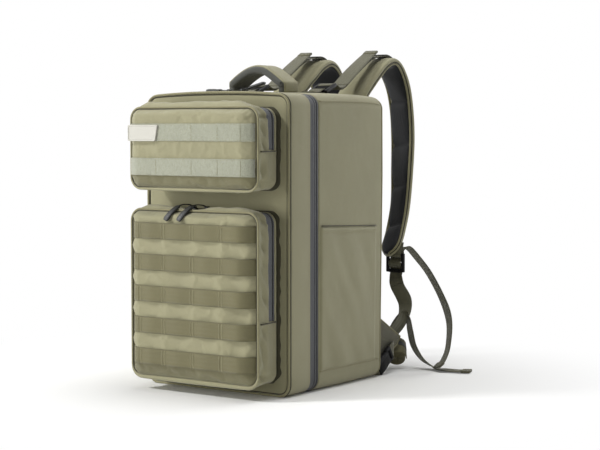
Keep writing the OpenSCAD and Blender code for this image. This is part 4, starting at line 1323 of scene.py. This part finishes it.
STRAP_X = 69.0
PAD_W, PAD_T, PAD_MESH_T, PAD_TIP = 62.0, 14.0, 5.0, 26.0
PAD_ROUTE = (
    (0, 3.8, -14, 0, 0.95, 0.35), (0, 15, -10, 2, 0.97, 0.6), (0, 38, 11, 5, 1, 1), (0, 66, 33, 8, 1.02, 1),
    (1, 95, 52, 12, 1.02, 1), (2, 121, 57, 16, 1.02, 1), (3, 145, 43, 20, 1.02, 1), (5, 163, 15, 23, 1.02, 1),
    (7, 172, -24, 25, 1.02, 1), (9.5, 173, -74, 25, 1, 1), (12, 167, -129, 25, 0.93, 1),
    (16, 155, -189, 24, 0.78, 1), (20.5, 132, -236, 20, 0.7, 0.95), (22.5, 114, -262, 16, 0.66, 0.85),
    (22, 102, -277, 14, 0.64, 0.7))
PAD_CREASES = (464.0, 385.0, 317.0, 246.0)
CREASE_DEEP, CREASE_BELOW, CREASE_ABOVE = 0.86, 7.0, 20.0
MESH_BULGE = 3.6
LOCK_POS = np.array([102.0, 244.5, 196.0])
LOCK_W, LOCK_L, LOCK_T = 36.0, 30.0, 6.0
LOCK_LOOP = ((7.5, 22), (5.0, 12), (3.4, 3), (2.6, -1.6), (0, -3.4), (-2.6, -1.6), (-3.2, 3), (1.0, 12),
             (5.0, 22))
STRAP_END = (
    (0, 4.0, -6, 1, 0, 0), (0.5, 6.6, 1, 1, 0, 0), (3, 12, 9, 0.95, -0.25, 0.1),
    (11, 23, 12, 0.85, -0.5, 0.15), (25, 34, -7, 0.82, -0.55, 0.2), (44, 43, -35, 0.8, -0.58, 0.2),
    (70, 43, -77, 0.78, -0.6, 0.2),
    (94, 25, -112, 0.76, -0.62, 0.1), (102, 8, -152, 0.7, -0.68, 0), (99, -3, -176, 0.68, -0.7, 0),
    (93, -15, -188, 0.66, -0.72, 0))
WING_LOW, WING_HIGH = islands("strap_wings")[-1]


def pad_line():
    """Path, width direction, width and thickness of the shoulder pad."""
    x, y, z, yaw, wide, thick = smooth_path(PAD_ROUTE, 12).T
    path = xyz(STRAP_X + x, Y_BACK + y, CASE_H + z)
    yaw = np.radians(yaw)
    place = distance_along(path)
    tip = np.clip((place - place[-1] + PAD_TIP) / PAD_TIP, 0, 0.93)
    return path, xyz(np.cos(yaw), -np.sin(yaw), 0), wide * PAD_W * np.sqrt(1 - tip ** 2), thick * PAD_T


def shoulder_pad(side):
    """Padded strap with a mesh lining that is drawn in at its creases."""
    body = "strap_" + side[0]
    path, width, wide, thick = pad_line()
    place = distance_along(path)
    across, face = path_frames(path, width)[1:]

    def shifted(aside, out):
        """The pad's middle line, moved across its width and out of its face."""
        return path + across * np.reshape(aside, (-1, 1)) + face * np.reshape(out, (-1, 1))

    falling = np.arange(np.argmax(path[:, 2]) + 1, len(path))
    creases = [falling[np.argmin(np.abs(path[falling, 2] - z))] for z in PAD_CREASES]
    pulled = np.ones(len(path))
    for i in creases:
        past = place - place[i]
        pulled -= CREASE_DEEP * np.exp(np.where(past > 0, -past / CREASE_BELOW, past / CREASE_ABOVE))
    mesh_t = thick * PAD_MESH_T / PAD_T
    cover = sweep(shifted(0, -mesh_t * 0.5), width, pillow(1, 1, 32, 0.3, 0.8), wide, thick - mesh_t + 1.5)
    sided(side, "shoulder_pad", cover, OLIVE_CLOTH, body, ["strap_pad_" + side[0]])
    lining = sweep(shifted(0, thick * 0.5 - mesh_t), width, pillow(1, 1, 32, 0.5, 0.7),
                   np.maximum(wide - 7, 2) * (0.86 + 0.14 * pulled), mesh_t * MESH_BULGE * pulled)
    sided(side, "shoulder_mesh", lining, MESH, body, ["strap_mesh_" + side[0]])
    cords, groove_shades, seams = [], [], []
    for edge in (-1, 1):
        cords.append(tube(shifted(edge * (wide / 2 - 2.0), thick * 0.5 - mesh_t * 0.7)[2:], 1.7))
        groove_shades.append(tube(shifted(edge * (wide / 2 - 0.9), thick * 0.5 - mesh_t * 1.35)[2:], 1.15))
        seams.append(stitches(shifted(edge * (wide / 2 - 6.5), -thick * 0.5 - 0.4)[8:-6], -face[8:-6]))
    sided(side, "shoulder_binding", join(*cords), OLIVE_TRIM, body)
    run = slice(60, -14)
    sided(side, "shoulder_webbing", web(shifted(0, -thick * 0.5 - 1.0)[run], width[run]), STRAP_WEB, body)
    for i in creases:
        ends = [path[i] + across[i] * s * WEB_W * 0.42 - face[i] * (thick[i] / 2 + 1.9) for s in (-1, 1)]
        seams.append(stitches(np.array(ends), -face[i], 1.2, 1.6, 0.6))
    # The groove cords are dark: painted shade in the grooves beside the binding.
    sided(side, "shoulder_groove", join(*groove_shades), OLIVE_SEAM_SHADE, body)
    sided(side, "shoulder_stitching", join(*seams), THREAD, body)


def ladder_shape():
    """A ladder lock about its webbing bar, lying along +Y."""
    inner, edge = LOCK_W / 2 - 5.3, LOCK_T / 2
    span = (-inner - 1, inner + 1)
    parts = [box((s * (inner + 2.65) - 2.65, s * (inner + 2.65) + 2.65), (-3.2, LOCK_L), (-edge, edge), 1.5)
             for s in (-1, 1)]
    parts.append(sweep(xyz((span[0], 0, span[1]), 0, 0), (0, 1, 0), circle(2.0, 12)))
    parts.append(box(span, (LOCK_L * 0.45, LOCK_L * 0.45 + 5), (-1.8, 1.8), 1.2))
    parts.append(box(span, (LOCK_L - 6, LOCK_L + 0.4), (-edge, 0.8), 1.3))
    parts += [box((-inner, inner), (y, y + 0.9), (-edge - 0.5, -edge + 0.6), 0.4)
              for y in (LOCK_L - 5, LOCK_L - 3.2, LOCK_L - 1.4)]
    return join(*parts)


def strap_webbing(side):
    """Ladder lock, its loop, the lower webbing and the free end."""
    strap, ladder = "strap_" + side[0], "ladder_" + side[0]
    lock = placed(ladder_shape(), LOCK_POS, turned_about("X", -90))
    sided(side, "ladder_buckle", lock, PLASTIC, ladder, ["ladder_lock_" + side[0]])
    loop = smooth_path([LOCK_POS + (0, b, c) for b, c in LOCK_LOOP], 4)
    loop = web(loop, (1, 0, 0), WEB_W - 0.6, 1.5)
    sided(side, "tip_webbing", loop, STRAP_WEB, strap, ["tip_loop_" + side[0]])

    wing_x = WING_LOW[0] - 1.2
    x, y, z = LOCK_POS
    path, width = web_route((
        (wing_x, Y_BACK + 60, 52, 0, -0.54, 0.84), (wing_x, Y_BACK + 80, 64, 0, -0.54, 0.84),
        (wing_x + 2.5, Y_BACK + 107, 85, -0.2, -0.7, 0.7), (wing_x, Y_BACK + 120, 113, -0.7, -0.7, 0.2),
        (x + 6, y - 3, z - 54, -0.95, -0.3, 0), (x, y + 1, z - LOCK_L - 9, -1, 0, 0),
        (x, y + 3.6, z - LOCK_L + 2, -1, 0, 0), (x, y + 1.5, z - 22, -1, 0, 0),
        (x, y - 3.0, z - 17, -1, 0, 0), (x, y - 2.6, z - 12, -1, 0, 0), (x, y + 1.5, z - 7.5, -1, 0, 0),
        (x, y + 4.2, z - 5, -1, 0, 0)))
    cut = np.argmax(path[:, 2] > z - 52)
    low_run = web(path[:cut + 1], width[:cut + 1])
    obj = sided(side, "lower_webbing", low_run, STRAP_WEB, None, ["lower_web_" + side[0]])
    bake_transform(obj)
    obj = sided(side, "lower_thread", web(path[cut:], width[cut:]), STRAP_WEB, None)
    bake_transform(obj)

    path, width = web_route([(x + a, y + b, z + c, *out) for a, b, c, *out in STRAP_END])
    hem, rows = folded_end(path, width, 13.0)
    obj = sided(side, "strap_end", join(web(path, width), hem), STRAP_WEB, None, ["strap_tail_" + side[0]])
    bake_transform(obj)
    sided(side, "strap_end_stitching", rows, THREAD, "case")


LIFTER_POS = np.array([STRAP_X, 54.0, 478.54])
LIFTER_TILT, LIFTER_CUT = 22.0, Y_BACK - 25
LIFTER_OVER = ((-25, 12), (25, 42), (62, 63.5), (84, 75.5))
LIFTER_UNDER = ((-25, 9), (25, 38.5), (62, 59), (90, 67), (112, 68), (126, 65), (136, 59))
LIFTER_DARK_BAND = ((98, 70), (112, 70.4), (124, 68), (133, 63.5))


def behind_top(places):
    """Places on the strap's middle plane, counted from the upper back edge of the case."""
    return [(STRAP_X, Y_BACK + a, CASE_H + b) for a, b in places]


def lifter(side):
    """Anchor, ladder lock and webbing that pull the strap to the case's top."""
    strap, body = "strap_" + side[0], "lifter_" + side[0]
    x, y, z = LIFTER_POS
    low = cad("lifter_anchors")[0][1]
    top = CASE_H + 1.4
    route = [(low, top), (low + 30, top), (y - 4, top), (y + 2, z - 3.2), (y + 3.6, z), (y + 2, z + 3.2),
             (y - 4, z + 3.0), (y - 12, top + 2.4), (y - 20, top + 1.6), (low + 14, top + 1.6)]
    anchor = web(smooth_path([(x, a, b) for a, b in route], 5), (1, 0, 0), WEB_W - 0.6, 1.5)
    sided(side, "lifter_anchor", anchor, STRAP_WEB, "case", ["lifter_anchors"])
    corners = [(x + a, low + b, top + 2.5) for a, b in ((-9, 16), (9, 16), (9, 28), (-9, 28))]
    rows = crossed_box(corners, (0, 0, 1), 3.0, 2.2, 0.45)
    sided(side, "lifter_anchor_stitching", join(*rows), THREAD, "case")
    lock = placed(ladder_shape(), LIFTER_POS, turned_about("X", LIFTER_TILT))
    sided(side, "lifter_buckle", lock, PLASTIC, body, ["lifter_lock_" + side[0]])

    tilt = math.radians(LIFTER_TILT)
    slope = np.array([0, math.cos(tilt), math.sin(tilt)])
    start = LIFTER_POS + LOCK_L * 0.55 * slope + (0, 0, 3.2)
    end = LIFTER_POS + LOCK_L * slope + (0, 1, 1.2)
    threads, runs = [], []
    for places, spread in ((LIFTER_OVER, 0.26), (LIFTER_UNDER, 0.0)):
        path = smooth_path([start, end] + behind_top(places), 7)
        place = distance_along(path)
        wide = 1 + spread * np.sin(place / place[-1] * math.pi)
        cut = np.argmax(path[:, 1] > LIFTER_CUT)
        threads.append(sweep(path[:cut + 1], (1, 0, 0), band(WEB_W, WEB_T, 6), wide[:cut + 1]))
        runs.append(sweep(path[cut:], (1, 0, 0), band(WEB_W, WEB_T, 6), wide[cut:]))
        if places is LIFTER_OVER:
            hem, rows = folded_end(path, np.broadcast_to((1.0, 0, 0), path.shape), 12.0)
            runs.append(hem)
    obj = sided(side, "lifter_webbing", join(*runs), STRAP_WEB, None, ["lifter_web_" + side[0]])
    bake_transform(obj)
    obj = sided(side, "lifter_thread", join(*threads), STRAP_WEB, None)
    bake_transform(obj)
    sided(side, "lifter_stitching", rows, THREAD, strap)
    # A dark grey band over the pad's apex, where the lower layer of the lifter ends.
    dark_band = web(smooth_path(behind_top(LIFTER_DARK_BAND), 5), (1, 0, 0), WEB_W + 4, 2.0)
    sided(side, "lifter_patch", dark_band, HANDLE_GREY, strap)


# Waist belt

ROLL_POS = np.array([118.0, 225.0, 17.0])
ROLL_R, ROLL_L, ROLL_TURNS = 17.0, 38.0, 5
WING_TIP = (42.0, 56.0)
BUCKLE_SIZE, BUCKLE_TILT = 1.1, 34.0
BUCKLE_SHIFT = np.array([6.0, -7.0, 7.8])


def wing(side):
    """Sewn triangle at the lower corner that carries the strap and the belt."""
    (x0, y0, z0), (x1, y1, z1) = WING_LOW, WING_HIGH
    corners = np.array([(y0, z0), (y1 - 12, WING_TIP[0]), (y1, WING_TIP[1]), (y0, z1)])
    loop = []
    for a, b in zip(corners, np.roll(corners, -1, axis=0)):
        n = max(2, int(np.linalg.norm(b - a) / 7))
        loop += [a + (b - a) * (t + 0.5) / n for t in range(n)]
    middle = np.mean(loop, axis=0)
    levels = [xyz(x, *(middle + (np.array(loop) - middle) * share).T) for x, share in (
        (x0 - 0.4, 0.5), (x0 - 0.2, 0.9), (x0 + 0.4, 0.985), ((x0 + x1) / 2, 1.0), (x1 - 0.2, 0.985),
        (x1 + 0.4, 0.93), (x1 + 0.7, 0.86), (x1 + 1.3, 0.6), (x1 + 1.4, 0.2))]
    # The wing's cloth is darker olive: painted shade from the case.
    sided(side, "wing", closed_rings(levels), OLIVE_WING_SHADE, "case", ["strap_wings"])
    binding = sweep(xyz((x0 + x1) / 2, *corners.T), (1, 0, 0), pillow(5.6, 3.2, 12, 0.8, 0.8))
    sided(side, "wing_binding", binding, OLIVE_TRIM, "case")
    inner = middle + (np.vstack([corners, corners[:1]]) - middle) * 0.86
    cross = middle + (corners - middle) * 0.8
    diagonal = np.array([(x1 + 1.25, *cross[3]), (x1 + 1.35, *middle), (x1 + 1.2, *cross[1])])
    rows = [stitches(path, (1, 0, 0)) for path in (xyz(x1 + 0.95, *inner.T), diagonal)]
    sided(side, "wing_stitching", join(*rows), THREAD, "case")


def belt_roll(side):
    """Spare belt webbing, wound up and held by an elastic band."""
    turn = np.array(turned_about("Z", 34) @ turned_about("X", -56))
    axis = turn[:, 2]

    def wound(reach, angle, height):
        return ROLL_POS + xyz(reach * np.cos(angle), reach * np.sin(angle), height) @ turn.T

    t = np.linspace(0, 1, ROLL_TURNS * 26)
    path = wound(1.8 + (ROLL_R - 2.6) * t, t * ROLL_TURNS * 2 * math.pi, ROLL_L / 2)
    sided(side, "belt_roll", sweep(path, axis, band(ROLL_L, 1.9, 4)), OLIVE_WEB, "case", ["belt_rolls"])
    path = wound(ROLL_R - 0.2, np.radians(np.arange(0, 360, 12)), ROLL_L * 0.62)
    sided(side, "belt_keeper", sweep(path, axis, band(9.0, 1.2, 3), closed=True), LINING, "case")


def buckle_half(plug):
    """Half of a side-release buckle as blocks along the belt, in its own frame."""
    low, high = cad("belt_buckle_socket")
    middle = (low + high) / 2
    (x0, y0, z0), (x1, y1, z1) = (low - middle) * BUCKLE_SIZE, (high - middle) * BUCKLE_SIZE
    blocks = [(1.5, (y1 - 6, y1 + 0.3), (z0 + 0.5, z1 - 0.5), 1.5)]
    blocks += [(1, (y1 - 14, y1 - 3), (z, z + 4), 1.4) for z in (z0 + 0.5, z1 - 4.5)]
    blocks.append((1, (y1 - 15, y1 - 10), (z0 + 1, z1 - 1), 1.6))
    ribs = []
    if plug:
        for z in (z0 + 1.5, z1 - 6.5):
            blocks.append((2, (y0 + 4, y1 - 12), (z, z + 5), 1.8))
            blocks.append((1.5, (y0 + 1, y0 + 11), (z - 0.5, z + 5.5), 2.2))
        blocks.append((3, (y0 + 8, y1 - 12), (-1.5, 1.5), 1.2))
    else:
        blocks.append((0, (y0 + 2, y1 - 13), (z0 + 1.5, z1 - 1.5), 3.0))
        blocks += [(1.6, (y0 + 9, y0 + 22), (z, z + 3.8), 1.7) for z in (z0 - 0.2, z1 - 3.6)]
        blocks.append((1.5, (y0 - 0.3, y0 + 4), (z0 + 0.5, z1 - 0.5), 1.4))
        ribs = [box((x1 - 0.4, x1 + 0.5), (y0 + y, y0 + y + 1.2), (z0 + 7, z1 - 7), 0.4) for y in (6, 9, 12)]
    parts = [box((x0 + inset, x1 - inset), *rest) for inset, *rest in blocks] + ribs
    return placed(join(*parts), middle + BUCKLE_SHIFT, turned_about("X", BUCKLE_TILT))


def belt():
    low, high = cad("belt_buckle_socket")
    x, z = (low[0] + high[0]) / 2 - 0.9, (low[2] + high[2]) / 2 - 0.5
    routes = (((0, Y_BACK - 1, 0), (4, Y_BACK + 4, -2), (7, Y_BACK + 12, -2.5)),
              ((7, high[1] - 9, 21), (6, high[1], 24), (-1, high[1] + 12, 24), (-12, high[1] + 21, 20)))
    runs = [web(smooth_path([(x + a, y, z + b) for a, y, b in route], 5), (0, 0, 1)) for route in routes]
    for side, half in zip(SIDES, ("socket", "plug")):
        sided(side, "belt_buckle", buckle_half(half == "plug"), PLASTIC, "case", ["belt_buckle_" + half])
        sided(side, "belt_webbing", join(*runs), STRAP_WEB, "case", ["belt_webbing"])
    x = WING_LOW[0] - 4.0
    path, width = web_route([(a, Y_BACK + b, *rest) for a, b, *rest in (
        (x, 66, 50, 0, -0.5, 0.86), (x - 1, 98, 76, 0, -0.55, 0.83), (x, 118, 91, 0.4, -0.8, 0.4),
        (x + 5, 125, 87, 0.7, -0.7, 0.1), (126, 122, 64, 0.8, -0.6, 0.1), (136, 118, 38, 0.8, -0.6, 0.1),
        (153, 117, 17.5, 0.75, -0.66, 0.1), (178, 116, 4.8, 0.55, -0.8, 0.1), (200, 113, 2.4, 0.4, -0.9, 0),
        (224, 115, 2.2, 0.3, -0.95, 0), (247, 122, 2.6, 0.3, -0.95, 0))])
    hem, rows = folded_end(path, width, 16.0)
    piece("belt_end", join(web(path, width), hem), STRAP_WEB, "case", ["belt_webbing"])
    piece("belt_end_stitching", rows, THREAD, "case")


# Back panel

BACK_PAD_R, CHANNEL_DEEP, CHANNEL_W = 14.0, 6.0, 5.0


def back_pad(number, low, high):
    """A mesh cushion with channels across its longer way, in a bound edge."""
    wide, deep, tall = high - low
    upright = tall > wide
    start, length, parts = (low[2], tall, 4) if upright else (low[0], wide, 3)
    channels = [start + length * k / parts for k in range(1, parts)]

    def cushion(u, v, edge):
        dome = deep * (1 - np.exp(-np.maximum(edge, 0) / 7.0))
        for channel in channels:
            dome = dome - CHANNEL_DEEP * np.exp(-(((v if upright else u) - channel) / CHANNEL_W) ** 2)
        return dome + 0.5 * ripples(u, v, 30.0, 8.0 + number)

    shape = cloth_panel(low[0], high[0], low[2], high[2], BACK_PAD_R, 3.4, cushion, 0.5, 1.0)
    shape = facing_back(shape, low[1] + 0.6)
    piece("back_pad_%d" % number, shape, MESH, "case", ["back_pads"])
    outline = rounded_rect(low[0], high[0], low[2], high[2], BACK_PAD_R)
    piece("back_pad_binding_%d" % number, ring_tube(outline, low[1] + 1.6, 0.2, 2.1), OLIVE_TRIM, "case")


def back_panel():
    for i, corners in enumerate(islands("back_pads")):
        back_pad(i + 1, *corners)
    low, high = cad("strap_yoke")
    shape = cloth_panel(low[0], high[0], low[2], high[2], 8.0, 3.6,
                        lambda u, v, edge: 2.4 + 0.6 * ripples(u, v, 30.0, 2.0), 0.5, 1.2)
    piece("yoke", facing_back(shape, low[1] + 0.2), OLIVE_CLOTH, "case", ["strap_yoke"])
    outline = rounded_rect(low[0] + 4, high[0] - 4, low[2] + 4, high[2] - 4, 5.0)
    rows = [stitches(ring_path(outline, low[1] + 3.0, 0), (0, 1, 0))]
    for x in (-STRAP_X, STRAP_X):
        corners = [(x + a, low[1] + 3.1, low[2] + b) for a, b in ((-26, 9), (26, 9), (26, 32), (-26, 32))]
        rows += crossed_box(corners, (0, 1, 0))
    piece("yoke_stitching", join(*rows), THREAD, "case")


# Inside the case

NET_PITCH, NET_SAG = 9.0, 3.0


def foam_boards():
    for i, (low, high) in enumerate(islands("foam_insert")):
        board = rounded_box(low, high, 2.6, 14.0, 0.25)
        piece("foam_board_%d" % (i + 1), board, FOAM_CLOTH, "case", ["foam_insert"])


def net_pocket():
    """Net inside the lid: crossing cords in a bound frame with a gathered top."""
    low, high = cad("lid_net_pocket")
    y = high[1] + 0.2
    wide, tall = high[0] - low[0], high[2] - low[2]
    cords = []
    for slope in (1, -1):
        for start in np.arange(-tall, wide, NET_PITCH):
            a0, a1 = max(0.0, start), min(wide, start + tall)
            if a1 - a0 < 3:
                continue
            t = np.linspace(a0, a1, 12)
            x = low[0] + (t if slope > 0 else wide - t)
            z = low[2] + t - start
            sag = NET_SAG * inside(x, wide / 2) * inside(z - (low[2] + high[2]) / 2, tall / 2)
            cords.append(sweep(xyz(x, y + sag + 0.25 * slope, z), (0, 1, 0), circle(0.55, 5)))
    piece("lid_net", join(*cords), MESH, "lid", ["lid_net_pocket"])
    outline = rounded_rect(low[0], high[0], low[2], high[2], 5.0, step=12.0)
    edging = strip(outline, [(y - 1, -2), (y + 0.9, -2), (y + 0.9, 7), (y - 1, 7)])
    piece("lid_net_binding", edging, LINING, "lid")
    x = np.linspace(low[0], high[0], 120)
    hem = xyz(x, y + 1.6 + 0.8 * np.sin(x * 0.9), high[2] - 6)
    piece("lid_net_elastic", sweep(hem, (0, 0, 1), band(14, 2.2)), LINING, "lid")


# Zip sliders and pulls

PIN_Z, PULL_L = 5.1, 46.0


def slider_shape():
    """A zip slider over its tape: two plates, a waist and the ears that hold the pull."""
    low, high = cad("main_slider_left")
    half, wide = (high - low)[:2] / 2
    parts = [box((-half, half), (-wide, wide), (0, 1.5), 0.7),
             box((-half + 1, half - 1), (-wide + 0.6, wide - 0.6), (2.1, 3.6), 0.7),
             box((-half + 2, half - 3), (-1.4, 1.4), (1, 3), 0.5)]
    for s in (-1, 1):
        ear, rim = s * (wide - 0.75), s * (wide - 0.6)
        parts.append(box((-2.4, 2.4), (ear - 0.7, ear + 0.7), (3.2, 6.9), 0.65))
        parts.append(box((-half + 0.5, half - 0.5), (rim - 0.5, rim + 0.5), (0.6, 2.6), 0.4))
    return join(*parts)


def pull_shape(path, grip):
    """A pull from its pin: eye, link and moulded grip over the last stretch of its path."""
    pin = xyz(0, (-3.6, 0, 3.6), 0)
    metal = [sweep(pin, (1, 0, 0), circle(0.9, 10)), sweep(pin * 0.58, (1, 0, 0), circle(1.5, 12))]
    place = distance_along(path)
    split = place[-1] - grip
    link = path[place < split + 3]
    metal += [sweep(link + np.array([0, s * 1.2, 0]), (0, 1, 0), circle(0.85, 6)) for s in (-1, 1)]
    held = path[place > split]
    t = (place[place > split] - split) / grip
    wide = np.interp(t, (0, 0.06, 0.5, 0.93, 1), (5.4, 9.0, 9.6, 10.0, 7.0))
    tall = np.interp(t, (0, 0.08, 0.5, 0.93, 1), (2.8, 4.4, 4.2, 4.6, 3.2))
    rubber = [sweep(held, (0, 1, 0), pillow(1, 1, 16, 0.5, 0.6), wide, tall)]
    along, across, out = path_frames(held, (0, 1, 0))
    for share in (0.45, 0.55, 0.65, 0.75, 0.85):
        i = int(np.argmin(np.abs(t - share)))
        for face in (-1, 1):
            centre = held[i] + out[i] * face * tall[i] / 2
            rib = np.array([centre - across[i] * 2.6, centre, centre + across[i] * 2.6])
            rubber.append(sweep(rib, along[i], circle(0.45, 6)))
    return join(*metal), join(*rubber)


def draped_path():
    """Forward over the pocket's puffed edge and down its front."""
    reach = Y_ZIP_MID + 0.2 - cad("lower_pull_left")[0][1] - 1.7
    return smooth_path([(0, 0, 0), (reach * 0.25, 0, 4.0), (reach * 0.5, -2, 5.0), (reach * 0.7, -3, 3.8),
                        (reach * 0.88, -4, 0.4), (reach + 2, -6, -4.4), (reach + 8, -9, -11.0),
                        (reach + 12.5, -12.5, -19.0)], 8)


def zip_hardware():
    straight, draped = xyz(np.linspace(0, PULL_L, 30), 0, 0), draped_path()
    level, sideways, forward = Matrix.Identity(3), turned_about("Y", -90), turned_about("Z", -90)
    for name, body_turn, pull_turn, path, grip in (
            ("main_%s_left", level, turned_about("Z", 180), straight, 30),
            ("main_%s_right", level, turned_about("Y", -14), straight, 30),
            ("lower_%s_left", level, forward, draped, 34),
            ("lower_%s_right", level, forward, draped, 34),
            ("upper_%s", sideways, turned_about("Y", 90), straight, 30)):
        slider, pull = name % "slider", name % "pull"
        low, high = cad(slider)
        origin = (low + high) / 2
        if body_turn is sideways:
            origin[0] = high[0]
            pin = origin + (-PIN_Z, 0, 0)
        else:
            origin[2] = low[2]
            pin = origin + (0, 0, PIN_Z)
        piece(slider + "_body", placed(slider_shape(), origin, body_turn), ZIP_METAL, slider, [slider])
        metal, rubber = pull_shape(path, grip)
        piece(pull + "_link", placed(metal, pin, pull_turn), ZIP_METAL, pull, [pull])
        piece(pull + "_grip", placed(rubber, pin, pull_turn), PULL_RUBBER, pull)


camera_and_floor()
lights()
finish_nodes()
case_halves()
main_zip()
for pocket in (UPPER, LOWER):
    pocket_gussets(pocket)
    pocket_front(pocket)
    pocket_zip(pocket)
webbing_rows()
loop_strips()
label()
lid_piping()
hinge()
side_pockets()
panel_seams()
handle()
for strap_side in SIDES:
    shoulder_pad(strap_side)
    strap_webbing(strap_side)
    lifter(strap_side)
    wing(strap_side)
    belt_roll(strap_side)
belt()
back_panel()
foam_boards()
net_pocket()
zip_hardware()
